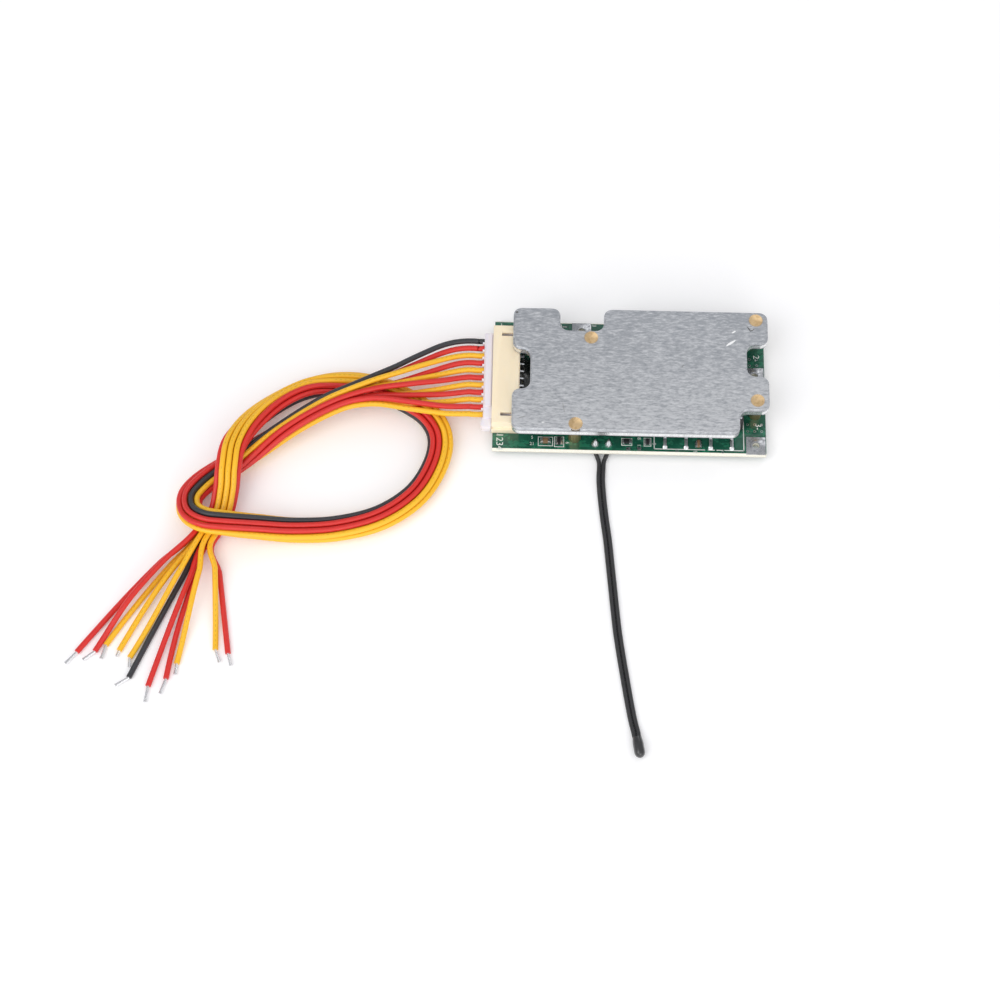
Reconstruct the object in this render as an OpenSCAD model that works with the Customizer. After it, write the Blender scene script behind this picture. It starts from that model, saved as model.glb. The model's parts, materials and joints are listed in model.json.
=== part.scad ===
// Battery management board: a small circuit board under an aluminium heatsink
// plate, with its eleven-wire balance lead plugged in and a temperature probe.
// Frame: +X along the board's long side, +Y to its back, +Z up, origin on the
// surface that it stands on, under the middle of the board.

/* [Circuit board] */
// Length of the board, left to right
board_l = 66; // [64:0.5:80]
// Depth of the board, front to back
board_w = 35.5; // [35:0.5:45]
// Thickness of the board
board_t = 1.6; // [1:0.1:2]
// Depth of the V-shaped score left along the front and back edges
score_d = 0.45; // [0.2:0.05:0.6]
// Half height of the broken web between the two scores
score_web = 0.3; // [0.2:0.05:0.45]

/* [Heatsink plate] */
// Thickness of the plate
plate_t = 2.5; // [1.5:0.1:3]
// Radius of every corner of the plate's outline
plate_r = 2; // [1:0.1:2.1]
// Height and width of the rolled round along the plate's top edge
plate_roll = 0.6; // [0.3:0.05:0.9]
// How far the plate's left edge lies inside the board's
plate_in_left = 4.5; // [4:0.1:5]
// How far the plate's front edge lies inside the board's
plate_in_front = 1.9; // [1.5:0.1:2.4]
// How far the plate stands over the board's right edge
plate_over = 0.3; // [0:0.1:0.6]
// Width of the notch over the battery terminal
b_notch_w = 10.6; // [8:0.1:12]
// Depth of the notch over the battery terminal
b_notch_d = 6; // [5.6:0.1:6.4]
// Length of the notch over the load terminal
p_notch_l = 8.6; // [7:0.1:10]
// Depth of the notch over the load terminal
p_notch_d = 5.2; // [4.4:0.1:5.6]
// Length of the notch behind the header
pin_notch_l = 10.6; // [9:0.1:14]
// Depth of the notch behind the header
pin_notch_d = 4.3; // [4.1:0.1:5]
// Width of the step cut away over the charge terminal
c_step_w = 7.2; // [6:0.1:8]
// Depth of the step cut away over the charge terminal
c_step_d = 6.4; // [5:0.1:7]

/* [Studs and screws] */
// Height of the studs, from the board to the plate
stud_h = 5; // [4.9:0.1:7]
// Diameter of a stud's shank
stud_d = 3; // [2.8:0.1:3.4]
// Diameter over the teeth of a stud's head
knurl_d = 3.6; // [3.4:0.1:4]
// Depth of the teeth
knurl_tooth = 0.2; // [0.1:0.05:0.3]
// Number of teeth round a head
knurl_n = 24; // [16:1:30]
// Thread diameter of the screws
screw_d = 2; // [1.6:0.1:2.2]
// Length of the screws under their heads
screw_l = 6; // [4:0.5:6]
// Diameter of the screw heads
screw_head_d = 4; // [3.4:0.1:4.4]
// Height of the screw heads, which the board stands on
screw_head_h = 1.6; // [1.5:0.1:2]
// Free space round a screw in its hole
screw_play = 0.1; // [0.05:0.01:0.2]

/* [Header and plug] */
// Number of circuits
circuits = 11; // [11:1:11]
// Spacing of the pins
pin_pitch = 2; // [2:0.01:2.05]
// Length of the header
header_l = 26.6; // [26:0.1:28]
// Depth of the header
header_d = 6.6; // [6.2:0.1:7]
// Height of the header
header_h = 4.8; // [4.6:0.1:4.9]
// How far the header stands over the board's left edge
header_over = 0.3; // [0:0.1:0.6]
// Wall above and below the header's mouth
header_wall = 0.8; // [0.7:0.05:0.9]
// How far the header's foot stands out past its two ends
header_foot = 0.4; // [0.2:0.05:0.6]
// Thickness of the wall that holds the pins
header_back = 1.4; // [1:0.1:1.8]
// Width of the square pins
pin_w = 0.5; // [0.4:0.05:0.55]
// Length of the plug's body across the wires
plug_l = 23.2; // [22.8:0.1:23.6]
// How far the plug stands out of the header
plug_out = 2.1; // [1.6:0.1:2.6]
// Free space round the plug in the header
plug_play = 0.1; // [0.05:0.01:0.15]
// How far the plug's end ear reaches past its body
ear_l = 2.3; // [1.5:0.1:2.6]
// Width of the crimped contacts
contact_w = 1.1; // [1:0.05:1.2]
// How deep a wire's insulation goes into the plug
crimp_in = 1.3; // [1:0.1:1.6]

/* [Transistors and parts] */
// Width of a power transistor's body
fet_w = 10.2; // [9.8:0.1:10.4]
// Depth of a power transistor's body
fet_d = 9.2; // [8.8:0.1:9.4]
// Height of a power transistor's body
fet_h = 4.4; // [4:0.05:4.5]
// Free space between the two transistors in a row
fet_gap = 0.8; // [0.6:0.1:1.2]
// Distance between a transistor's two outer leads
lead_gap = 5.08; // [4.8:0.01:5.2]
// Width of a transistor's leads
lead_w = 0.8; // [0.6:0.05:1]
// Thickness of a transistor's leads and tab
lead_t = 0.5; // [0.4:0.05:0.6]

/* [Terminals] */
// Side of the square tinned pads
pad_w = 4.7; // [4.4:0.1:4.8]
// Height of the solder on the pads
pad_t = 0.15; // [0.1:0.01:0.2]
// Diameter of the wire holes through the pads
pad_hole_d = 1.7; // [1.4:0.1:2]
// Distance from the charge pad's outer edges to the board's
pad_in = 0.15; // [0.1:0.05:0.3]

/* [Wires] */
// Diameter of a wire over its insulation
wire_d = 1.35; // [1.2:0.01:1.36]
// Centre-to-centre distance of neighbouring wires in the bundle
lane = 1.5; // [1.5:0.01:1.55]
// Diameter of the tinned strands at a wire's end
strand_d = 0.6; // [0.5:0.05:0.8]
// Length of the bare strands
strand_l = 3.2; // [2:0.1:4]
// Diameter of one of the probe's two leads
probe_wire_d = 1.05; // [0.9:0.01:1.05]
// Diameter of the probe's bead
bead_d = 2.5; // [2.4:0.1:3]
// Length of the probe's bead
bead_l = 5; // [4.5:0.1:6]

/* [Hidden] */

fn_bore = 32;      // facets that OpenSCAD draws a true bore with
corner_steps = 6;  // facets round a corner of the plate
skin = 0.02;       // gap of a part that is held by its neighbour

// Levels
board_z = screw_head_h;             // underside of the board
top_z = board_z + board_t;          // component side of the board
plate_z = top_z + stud_h;           // underside of the plate
plate_top = plate_z + plate_t;

// Edges of the board
left = -board_l / 2;
right = board_l / 2;
back = board_w / 2;
front = -board_w / 2;

// Edges of the plate
plate_left = left + plate_in_left;
plate_right = right + plate_over;
plate_back = back - 0.2;
plate_front = front + plate_in_front;

// Terminal pads
c_pad = [right - pad_in - pad_w / 2, front + pad_in + pad_w / 2];
p_pad = [c_pad.x, 3.6];
b_pad = [-11.7, back - 0.35 - pad_w / 2];

// Middles of the plate's notches, which follow the pads and the header
b_notch_x = b_pad.x - 0.1;
p_notch_y = p_pad.y + 0.7;
pin_notch_y = 0.7;

// Temperature probe's holes, near the front edge
probe_y = front + 2.2;
probe_x = [-8.2, -5];
probe_hole_d = 1;
probe_core_d = 0.5;
probe_exit_y = probe_y - 0.8;
probe_low = board_z - 0.15 - probe_wire_d / 2; // leads just under the board

// Studs: beside the back notch, in the two right corners and beside the probe
stud_in = 2.6;
back_left_at = [b_notch_x + 2.2, plate_back - b_notch_d - 2.1];
back_right_at = [right - stud_in, back - stud_in];
front_right_at = [right - stud_in, plate_front + c_step_d + 2.7];
front_left_at = [probe_x[0] - 5, plate_front + knurl_d / 2 + 0.05];
STUDS = [back_left_at, back_right_at, front_right_at, front_left_at];

// Header and plug
header_y = 0.4;                                // middle of the row of pins
header_x = left - header_over;                 // mouth of the header
header_rear = header_x + header_d;
pin_z = top_z + header_h / 2;
pin_drop_x = header_rear + 0.85;               // where the pins turn down
plug_back_x = header_x - plug_out;
plug_front_x = header_rear - header_back - 0.4;
plug_h = header_h - 2 * header_wall - 2 * plug_play;
pin_tip_x = header_x + 1.3;
wire_start_x = plug_back_x + crimp_in;
contact_end_x = plug_front_x - 0.3;
function pin_y(i) = header_y + ((circuits + 1) / 2 - i) * pin_pitch;

// Power transistors, in two rows that face away from each other
fet_mid_x = c_pad.x - pad_w / 2 - 0.9 - fet_w - fet_gap / 2;
function fet_x(side) = fet_mid_x + side * (fet_w + fet_gap) / 2;
fet_tab = 1.3;                                 // tab beyond the body
fet_reach = 4.8;                               // leads beyond the body
row_gap = 0.6;                                 // from the middle to a tab
pad_gap = stud_h - fet_h;                      // filled by the thermal pad
fet_body_y = row_gap + fet_tab;                // near face of a body
lead_end_y = fet_body_y + fet_d + fet_reach;

// Small parts: two columns beside the header, and the rest by what they serve
cells = 10;
balance_pitch = 2.5;
balance_x = plate_left + 8.2;                  // discharge resistors
switch_x = balance_x + 3.6;                    // their switches
shunt = [3.2, 6.3, 0.7];
shunt_x = fet_x(-1) - fet_w / 2 - 1.4 - shunt.x / 2;
chip_pitch = 2.4;
function cell_y(i) = (i - (cells - 1) / 2) * balance_pitch;

// ---------------------------------------------------------------- helpers

function unit(v) = v / norm(v);
function smooth(x) = let (c = min(max(x, 0), 1)) c * c * (3 - 2 * c);

// Outline of a plate with square turns, drawn inwards by inset; each corner
// keeps its centre, so an outer corner tightens and an inner one widens.
function rounded(corners, r, inset, steps) =
    let (n = len(corners))
    [for (i = [0 : n - 1])
        let (p = corners[i],
             a = unit(corners[(i + n - 1) % n] - p),
             b = unit(corners[(i + 1) % n] - p),
             turn = sign(a.x * b.y - a.y * b.x),
             q = p + turn * inset * (a + b),
             rr = r - turn * inset)
        for (k = [0 : steps])
            let (t = 90 * k / steps)
            q + rr * (a + b) - rr * (b * cos(t) + a * sin(t))];

// Catmull-Rom spline through rows of numbers, at place u counted in rows.
function spline(rows, u) =
    let (n = len(rows) - 1,
         v = min(max(u, 0), n),
         i = min(floor(v), n - 1),
         f = v - i,
         a = rows[max(i - 1, 0)], b = rows[i],
         c = rows[i + 1], d = rows[min(i + 2, n)])
    0.5 * (2 * b + (c - a) * f + (2 * a - 5 * b + 4 * c - d) * f * f
        + (3 * b - a - 3 * c + d) * f * f * f);

// Plain tube of eight sides along points, as one closed skin.
module tube(points, r) {
    n = len(points);
    sides = 8;
    function side_of(t) = unit([-t.y, t.x, 0]);
    verts = [for (i = [0 : n - 1])
        let (t = unit(points[min(i + 1, n - 1)] - points[max(i - 1, 0)]),
             h = side_of(t), v = cross(t, h))
        for (k = [0 : sides - 1])
            let (a = 360 * (k + 0.5) / sides)
            points[i] + r * (cos(a) * h + sin(a) * v)];
    walls = [for (i = [0 : n - 2], k = [0 : sides - 1])
        let (a = i * sides + k, b = i * sides + (k + 1) % sides)
        [a, a + sides, b + sides, b]];
    first = [for (k = [0 : sides - 1]) k];
    last = [for (k = [sides - 1 : -1 : 0]) (n - 1) * sides + k];
    polyhedron(verts, concat(walls, [first, last]));
}

module block(x, y, z) {
    translate([x[0], y[0], z[0]]) cube([x[1] - x[0], y[1] - y[0], z[1] - z[0]]);
}

module drum(at, r, z) {
    translate([at.x, at.y, z[0]]) cylinder(r = r, h = z[1] - z[0], $fn = fn_bore);
}

// ---------------------------------------------------------- circuit board

// Section of the board from front to back: the scored edges are broken off
// along a thin web.
module board_section() {
    mid = board_t / 2;
    polygon([[front + score_d, 0], [front, mid - score_web], [front, mid + score_web],
        [front + score_d, board_t], [back - score_d, board_t],
        [back, mid + score_web], [back, mid - score_web], [back - score_d, 0]]);
}

module circuit_board() {
    color([0.12, 0.42, 0.32]) difference() {
        translate([left, 0, board_z]) rotate([90, 0, 90])
            linear_extrude(board_l) board_section();
        for (s = STUDS) drum(s, screw_d / 2 + screw_play, [board_z - 1, top_z + 1]);
        for (p = [b_pad, p_pad, c_pad]) drum(p, pad_hole_d / 2, [board_z - 1, top_z + 1]);
        for (x = probe_x) drum([x, probe_y], probe_hole_d / 2, [board_z - 1, top_z + 1]);
        for (i = [1 : circuits])
            drum([pin_drop_x, pin_y(i)], pin_w * 0.8, [board_z - 1, top_z + 1]);
    }
}

// --------------------------------------------------------- heatsink plate

// Corners of the plate, anticlockwise from its front left corner.
function plate_corners() = [
    [plate_left, plate_front],
    [plate_right - c_step_w, plate_front],
    [plate_right - c_step_w, plate_front + c_step_d],
    [plate_right, plate_front + c_step_d],
    [plate_right, p_notch_y - p_notch_l / 2],
    [plate_right - p_notch_d, p_notch_y - p_notch_l / 2],
    [plate_right - p_notch_d, p_notch_y + p_notch_l / 2],
    [plate_right, p_notch_y + p_notch_l / 2],
    [plate_right, plate_back],
    [b_notch_x + b_notch_w / 2, plate_back],
    [b_notch_x + b_notch_w / 2, plate_back - b_notch_d],
    [b_notch_x - b_notch_w / 2, plate_back - b_notch_d],
    [b_notch_x - b_notch_w / 2, plate_back],
    [plate_left, plate_back],
    [plate_left, pin_notch_y + pin_notch_l / 2],
    [plate_left + pin_notch_d, pin_notch_y + pin_notch_l / 2],
    [plate_left + pin_notch_d, pin_notch_y - pin_notch_l / 2],
    [plate_left, pin_notch_y - pin_notch_l / 2]];

// Ring that planes the round off the plate's top edge: it follows the outline
// with the same number of points in each of its loops.
module edge_cutter() {
    bend = [for (t = [0 : 22.5 : 90])
        [plate_roll * (1 - cos(t)), plate_top - plate_roll * (1 - sin(t))]];
    loops = concat(bend, [[plate_roll, plate_top + 0.4], [-0.4, plate_top + 0.4],
        [-0.4, plate_top - plate_roll]]);
    rows = [for (l = loops)
        [for (p = rounded(plate_corners(), plate_r, l[0], corner_steps)) [p.x, p.y, l[1]]]];
    n = len(rows[0]);
    m = len(rows);
    polyhedron([for (r = rows) each r],
        [for (j = [0 : m - 1], i = [0 : n - 1])
            let (a = j * n + i, b = j * n + (i + 1) % n,
                 c = (j + 1) % m * n + (i + 1) % n, d = (j + 1) % m * n + i)
            [d, c, b, a]]);
}

module heatsink_plate() {
    color([0.7, 0.72, 0.75]) difference() {
        translate([0, 0, plate_z]) linear_extrude(plate_t)
            polygon(rounded(plate_corners(), plate_r, 0, corner_steps));
        edge_cutter();
        for (s = STUDS) drum(s, knurl_d / 2, [plate_z - 1, plate_top + 1]);
    }
}

// ------------------------------------------------------- studs and screws

// Stud with a toothed head pressed flush into the plate and a blind thread
// from below.
module stud(at) {
    r = knurl_d / 2 - skin;
    bore_l = screw_l - board_t + 0.5;
    color([0.83, 0.68, 0.4]) difference() {
        union() {
            translate([at.x, at.y, plate_z]) linear_extrude(plate_t)
                polygon([for (i = [0 : 2 * knurl_n - 1])
                    let (q = i % 2 == 0 ? r : r - knurl_tooth, a = 180 * i / knurl_n)
                    [q * cos(a), q * sin(a)]]);
            drum(at, stud_d / 2, [top_z, plate_z + 0.1]);
        }
        drum(at, screw_d / 2 + skin, [top_z - 1, top_z + bore_l]);
    }
}

module stud_screws() {
    cross_w = screw_head_d * 0.14;
    cross_l = screw_head_d * 0.55;
    color([0.75, 0.76, 0.78])
    for (s = STUDS) translate([s.x, s.y, 0]) difference() {
        union() {
            rotate_extrude($fn = fn_bore) polygon([[0, 0],
                [screw_head_d * 0.3, 0], [screw_head_d * 0.44, screw_head_h * 0.2],
                [screw_head_d / 2, screw_head_h * 0.55], [screw_head_d / 2, screw_head_h],
                [0, screw_head_h]]);
            cylinder(d = screw_d, h = screw_head_h + screw_l, $fn = fn_bore);
        }
        for (a = [0, 90]) rotate(a) translate([0, 0, screw_head_h * 0.25])
            cube([cross_l, cross_w, screw_head_h * 0.5 + 0.01], center = true);
    }
}

// ----------------------------------------------------- power transistors

// Extrudes a section that is drawn in X and Z, evenly about y = 0.
module extrude_y(length) {
    rotate([90, 0, 0]) linear_extrude(length, center = true) children();
}

// Extrudes a section that is drawn in Y and Z, evenly about x = 0.
module extrude_x(length) {
    rotate([90, 0, 90]) linear_extrude(length, center = true) children();
}

// Path of even thickness: the outer side is given and the inner side follows.
module bent_lead(outer, inner) {
    polygon(concat(outer, [for (i = [len(inner) - 1 : -1 : 0]) inner[i]]));
}

// Surface-mounted power transistor: moulded body on a metal tab, with two
// bent leads and the cut stub of a third. Local +Y is the side of the leads.
module transistor(x, side) {
    bevel = 0.5;
    draft = 0.12;
    parting = fet_h * 0.5;
    foot = 2.2;
    toe = fet_reach;
    knee = toe - foot;
    far = fet_body_y + fet_d;
    color([0.16, 0.16, 0.17])
    translate([x, 0, top_z]) mirror([0, side < 0 ? 1 : 0, 0]) {
        extrude_x(fet_w) polygon([[fet_body_y + draft, 0], [far - draft, 0],
            [far, parting], [far - bevel * 0.5, fet_h - bevel], [far - bevel, fet_h],
            [fet_body_y + draft, fet_h], [fet_body_y, parting]]);
        extrude_x(fet_w - 0.4) polygon([[fet_body_y - fet_tab, 0], [fet_body_y + 0.2, 0],
            [fet_body_y + 0.2, fet_tab], [fet_body_y - fet_tab + 0.15, fet_tab],
            [fet_body_y - fet_tab, fet_tab - 0.15]]);
        for (s = [-1, 1]) translate([s * lead_gap / 2, far - 0.2, 0]) extrude_x(lead_w)
            bent_lead(
                [[0, parting], [knee - 0.3, parting], [knee, parting - 0.3],
                    [knee + 0.35, lead_t], [toe + 0.2, lead_t]],
                [[0, parting - lead_t], [knee - 0.55, parting - lead_t],
                    [knee - 0.3, parting - lead_t - 0.25], [knee, 0], [toe + 0.2, 0]]);
        translate([0, far, parting - lead_t / 2])
            cube([lead_w, 1.6, lead_t], center = true);
    }
}

// Solder at the toes of the transistors' leads.
module transistor_solder() {
    color([0.8, 0.81, 0.83])
    for (sx = [-1, 1], sy = [-1, 1], s = [-1, 1])
        translate([fet_x(sx) + s * lead_gap / 2, sy * (lead_end_y + skin), top_z])
            rotate([90, 0, 90]) linear_extrude(lead_w + 0.3, center = true)
                polygon([[0, 0], [sy * 0.7, 0], [sy * 0.35, lead_t * 0.4], [0, lead_t]]);
}

module thermal_pad() {
    color([0.85, 0.85, 0.87])
        block([fet_x(-1) - fet_w / 2 + 0.4, fet_x(1) + fet_w / 2 - 0.4],
            [-fet_body_y - fet_d + 0.8, fet_body_y + fet_d - 0.8],
            [top_z + fet_h, plate_z]);
}

// ------------------------------------------------------------ small parts

// Chip part with a ceramic body and two end caps.
module chip(at, size, turn = 0) {
    cap = size.x * 0.2;
    translate([at.x, at.y, top_z]) rotate(turn) {
        translate([-size.x / 2 + cap / 2, -size.y / 2 + 0.04, 0.03])
            cube([size.x - cap, size.y - 0.08, size.z - 0.06]);
        for (s = [-1, 1]) translate([s * (size.x - cap) / 2, 0, size.z / 2])
            cube([cap, size.y, size.z], center = true);
    }
}

// Flat moulded package with a row of legs on two sides, which reach out of it.
module leaded(at, size, legs, leg_pitch, leg_w, reach) {
    translate([at.x, at.y, top_z]) {
        translate([-size.x / 2, -size.y / 2, 0.1]) cube(size);
        for (s = [-1, 1], i = [0 : legs - 1])
            translate([(i - (legs - 1) / 2) * leg_pitch, s * (size.y + reach - 0.2) / 2, size.z * 0.2])
                cube([leg_w, reach + 0.2, size.z * 0.4], center = true);
    }
}

module controller_chip() {
    color([0.15, 0.15, 0.16])
        leaded([-8, 1], [8.2, 5.3, 1.7], 12, 0.65, 0.3, 0.9);
}

module balance_resistors() {
    color([0.2, 0.2, 0.22])
        for (i = [0 : cells - 1]) chip([balance_x, cell_y(i)], [3.2, 1.6, 0.6]);
}

module balance_switches() {
    color([0.14, 0.14, 0.15])
        for (i = [0 : cells - 1])
            leaded([switch_x, cell_y(i)], [1.3, 0.9, 1], 1, 1, 0.4, 0.6);
}

module shunt_resistors() {
    color([0.22, 0.22, 0.24])
        for (s = [-1, 1]) chip([shunt_x, s * 5.5], shunt);
}

module small_capacitors() {
    size = [2, 1.25, 1.1];
    color([0.6, 0.45, 0.33]) {
        chip([front_left_at.x - 7, front + 2.5], size);
        chip([fet_mid_x, front + 2.6], [1, 1.8, 0.8]);
        chip([shunt_x - 5.05, -8], size, 90);
        chip([switch_x + 3.7, -6.5], size);
        chip([shunt_x - 3.05, 10], [3.2, 1.6, 1.4]);
    }
}

module small_resistors() {
    size = [1.6, 0.8, 0.5];
    color([0.18, 0.18, 0.2]) {
        chip([front_left_at.x - 3.7, front + 2.6], [1.2, 2, 0.6]);
        chip([probe_x[1] + 4.4, front + 2.9], [2, 1.25, 0.5]);
        chip([fet_x(-1) - fet_w / 2 - 1.65, front + 2.9], [1.1, 1.6, 0.5]);
        for (i = [0 : 3]) chip([shunt_x - 2.95 - chip_pitch * i, -4.5], size, 90);
        for (i = [0 : 2]) chip([shunt_x - 5.25 - chip_pitch * i, 6.5], size, 90);
    }
}

// ------------------------------------------------------- header and plug

// Side-entry header that opens to the left: its open section runs between two
// end walls, with latch windows in the roof and a foot and a ledge on the ends.
module header_housing() {
    mouth_l = plug_l + 2 * plug_play;
    end_wall = (header_l - mouth_l) / 2;
    lead_in = 0.25;
    foot_h = 2;
    window = [2.6, 0.9];
    hole = pin_w + 2 * skin;
    d = header_d;
    h = header_h;
    w = header_wall;
    inner = d - header_back;
    color([0.93, 0.85, 0.7]) translate([header_x, header_y, top_z]) difference() {
        union() {
            extrude_y(mouth_l + 0.02) polygon([[0, 0], [d, 0], [d, h - 0.3], [d - 0.3, h],
                [0, h], [0, h - w + lead_in], [lead_in, h - w], [inner, h - w],
                [inner, w], [lead_in, w], [0, w - lead_in]]);
            for (s = [-1, 1]) translate([0, s * (mouth_l + end_wall) / 2, 0]) {
                extrude_y(end_wall)
                    polygon([[0, 0], [d, 0], [d, h - 0.3], [d - 0.3, h], [0, h]]);
                translate([0, s * header_foot / 2, 0]) extrude_y(end_wall + header_foot)
                    polygon([[0, 0], [d, 0], [d, foot_h], [0, foot_h]]);
                translate([0, s * header_foot / 4, 0]) extrude_y(end_wall + header_foot / 2)
                    polygon([[2.6, foot_h - 0.1], [d, foot_h - 0.1],
                        [d, foot_h + 0.8], [2.9, foot_h + 0.8]]);
            }
        }
        for (s = [-1, 1]) translate([2.1, s * (mouth_l / 2 - 0.8) - window.y / 2, h - w - 0.1])
            cube([window.x, window.y, w + 0.2]);
        for (i = [1 : circuits])
            translate([d - header_back / 2, pin_y(i) - header_y, pin_z - top_z])
                cube([header_back + 0.4, hole, hole], center = true);
    }
}

// Square pins: straight through the header's back wall, then down through
// the board.
module header_pins() {
    stub = 0.9;
    color([0.83, 0.84, 0.85])
    for (i = [1 : circuits]) translate([0, pin_y(i) - pin_w / 2, 0]) {
        translate([pin_tip_x, 0, pin_z - pin_w / 2])
            cube([pin_drop_x - pin_tip_x + pin_w / 2, pin_w, pin_w]);
        translate([pin_drop_x - pin_w / 2, 0, board_z - stub])
            cube([pin_w, pin_w, pin_z - board_z + stub]);
    }
}

// Solder cones round the pins, on the underside.
module header_solder() {
    h = 0.7;
    color([0.8, 0.81, 0.83])
    for (i = [1 : circuits]) translate([pin_drop_x, pin_y(i), board_z]) difference() {
        mirror([0, 0, 1]) cylinder(r1 = 0.75, r2 = pin_w * 0.8, h = h, $fn = 16);
        translate([0, 0, -h / 2])
            cube([pin_w + 2 * skin, pin_w + 2 * skin, h + 1], center = true);
    }
}

// Plug: a flat body with one round wire entry and one square contact room
// for each circuit, thin lips between the entries, a raised rib that ends
// before the latch and an ear at its front end.
module plug_housing() {
    lip = [0.45, 0.5];
    entry = wire_d / 2 + 0.06;
    room = contact_w + 2 * skin;
    rib_end = plug_l / 2 - 3;
    half = plug_h / 2;
    end = plug_l / 2;
    color([0.95, 0.95, 0.94]) translate([0, header_y, pin_z]) difference() {
        union() {
            extrude_y(plug_l) polygon([[plug_back_x, -half + 0.3], [plug_back_x + 0.3, -half],
                [plug_front_x - 0.4, -half], [plug_front_x, -half + 0.3],
                [plug_front_x, half - 0.3], [plug_front_x - 0.4, half],
                [plug_back_x + 0.3, half], [plug_back_x, half - 0.3]]);
            for (i = [1 : circuits - 1])
                translate([plug_back_x - lip.x / 2, pin_y(i) - header_y - pin_pitch / 2, 0])
                    cube([lip.x + 0.02, lip.y, plug_h * 0.7], center = true);
            translate([plug_back_x, -end, -half + 0.4]) linear_extrude(plug_h - 0.8)
                polygon([[0, 1], [0, 0], [-0.55, -ear_l * 0.55], [-0.45, -ear_l + 0.4],
                    [0.1, -ear_l], [plug_out - 0.3, -ear_l], [plug_out - 0.1, -ear_l + 0.3],
                    [plug_out - 0.1, 1]]);
            block([plug_back_x + 0.4, header_x - 0.25], [-end + 3, rib_end + 2.6],
                [half - 0.1, half + 0.3]);
        }
        for (i = [1 : circuits]) translate([0, pin_y(i) - header_y, 0]) {
            translate([plug_back_x - 1, 0, 0]) rotate([0, 90, 0])
                cylinder(r = entry, h = crimp_in + 1, $fn = fn_bore);
            translate([wire_start_x - 0.1, -room / 2, -room / 2])
                cube([plug_front_x - wire_start_x + 1.1, room, room]);
        }
    }
}

// Crimped contacts that hold the wires' ends and grip the pins.
module plug_contacts() {
    slot = pin_w + 2 * skin;
    color([0.8, 0.78, 0.7])
    for (i = [1 : circuits]) difference() {
        translate([wire_start_x, pin_y(i) - contact_w / 2, pin_z - contact_w / 2])
            cube([contact_end_x - wire_start_x, contact_w, contact_w]);
        translate([pin_tip_x - 0.2, pin_y(i) - slot / 2, pin_z - slot / 2])
            cube([contact_end_x - pin_tip_x + 1, slot, slot]);
    }
}

// -------------------------------------------------------------- terminals

// Tinned pad round a wire hole, with a raised rim of solder.
module terminal(at) {
    rim = 0.5;
    color([0.75, 0.76, 0.77]) difference() {
        union() {
            translate([at.x - pad_w / 2, at.y - pad_w / 2, top_z]) cube([pad_w, pad_w, pad_t]);
            drum(at, pad_hole_d / 2 + rim, [top_z, top_z + 2 * pad_t]);
        }
        drum(at, pad_hole_d / 2, [top_z - 1, top_z + 1]);
    }
}

// ------------------------------------------------------ temperature probe

// Solder cone and core of each lead: up through the board, with the core
// turned forward under it.
module probe_solder() {
    color([0.85, 0.86, 0.87])
    for (x = probe_x) {
        translate([x, probe_y, top_z]) cylinder(r1 = 1, r2 = 0.3, h = 1.7, $fn = 24);
        drum([x, probe_y], probe_core_d / 2, [probe_low - probe_core_d / 2, top_z + 2.1]);
        translate([x, probe_exit_y, probe_low]) rotate([-90, 0, 0])
            cylinder(d = probe_core_d, h = probe_y - probe_exit_y, $fn = fn_bore);
    }
}

// Route of the twin lead's middle, from behind the board's front edge to the
// bead, on the surface that the board stands on.
PROBE_ROUTE = [[-6.6, -16.75], [-6.6, -18.3], [-6.6, -20.5], [-6.7, -24], [-6.4, -28.5],
    [-5.8, -34], [-5, -40], [-4.4, -46], [-3.8, -52], [-3.2, -58], [-2.6, -63.5],
    [-1.8, -69], [-1, -74], [-0.1, -79.5], [0.8, -84.5], [1.5, -87.6], [1.8, -89.2]];
probe_rings = 29;
probe_apart = probe_wire_d + 0.01;
bead_z = bead_d / 2;
bead_face_r = bead_d * 0.42;

// The two leads start at their own holes and close up into a twin.
function probe_path(side) =
    let (n = len(PROBE_ROUTE) - 1)
    [for (j = [0 : probe_rings])
        let (u = n * j / probe_rings,
             p = spline(PROBE_ROUTE, u),
             t = unit(spline(PROBE_ROUTE, u + 0.05) - spline(PROBE_ROUTE, u - 0.05)),
             open = 1 - smooth((u - 0.4) / 2.2),
             half = probe_apart / 2 * (1 - open) + (probe_x[1] - probe_x[0]) / 2 * open,
             fall = smooth(u / 2), lift = smooth((u - n + 1.8) / 1.2),
             z = probe_low * (1 - fall) + probe_wire_d / 2 * fall
                 + (bead_z - 0.35 - probe_wire_d / 2) * lift)
        j < 2 ? [probe_x[side < 0 ? 0 : 1], probe_exit_y - 0.7 * j, probe_low]
               : [p.x - side * half * t.y, p.y + side * half * t.x, z]];

module probe_lead(side) {
    color([0.12, 0.12, 0.13]) tube(probe_path(side), probe_wire_d / 2);
}

// Dipped bead round the sensor, with a flat face where the leads go in.
module probe_bead() {
    n = len(PROBE_ROUTE) - 1;
    p = PROBE_ROUTE[n];
    t = unit(p - spline(PROBE_ROUTE, n - n / probe_rings));
    aim = atan2(t.y, t.x);
    nose = bead_d / 2;
    color([0.08, 0.08, 0.09])
    translate([p.x, p.y, bead_z]) rotate([0, 0, aim]) rotate([0, 90, 0])
        rotate_extrude($fn = 32) polygon(concat([[0, skin], [bead_face_r, skin]],
            [[nose * 0.93, bead_l * 0.16], [nose, bead_l * 0.32]],
            [for (a = [0 : 15 : 90]) [nose * cos(a), bead_l - nose * 1.1 * (1 - sin(a))]]));
}

// ------------------------------------------------------------ balance lead

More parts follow.
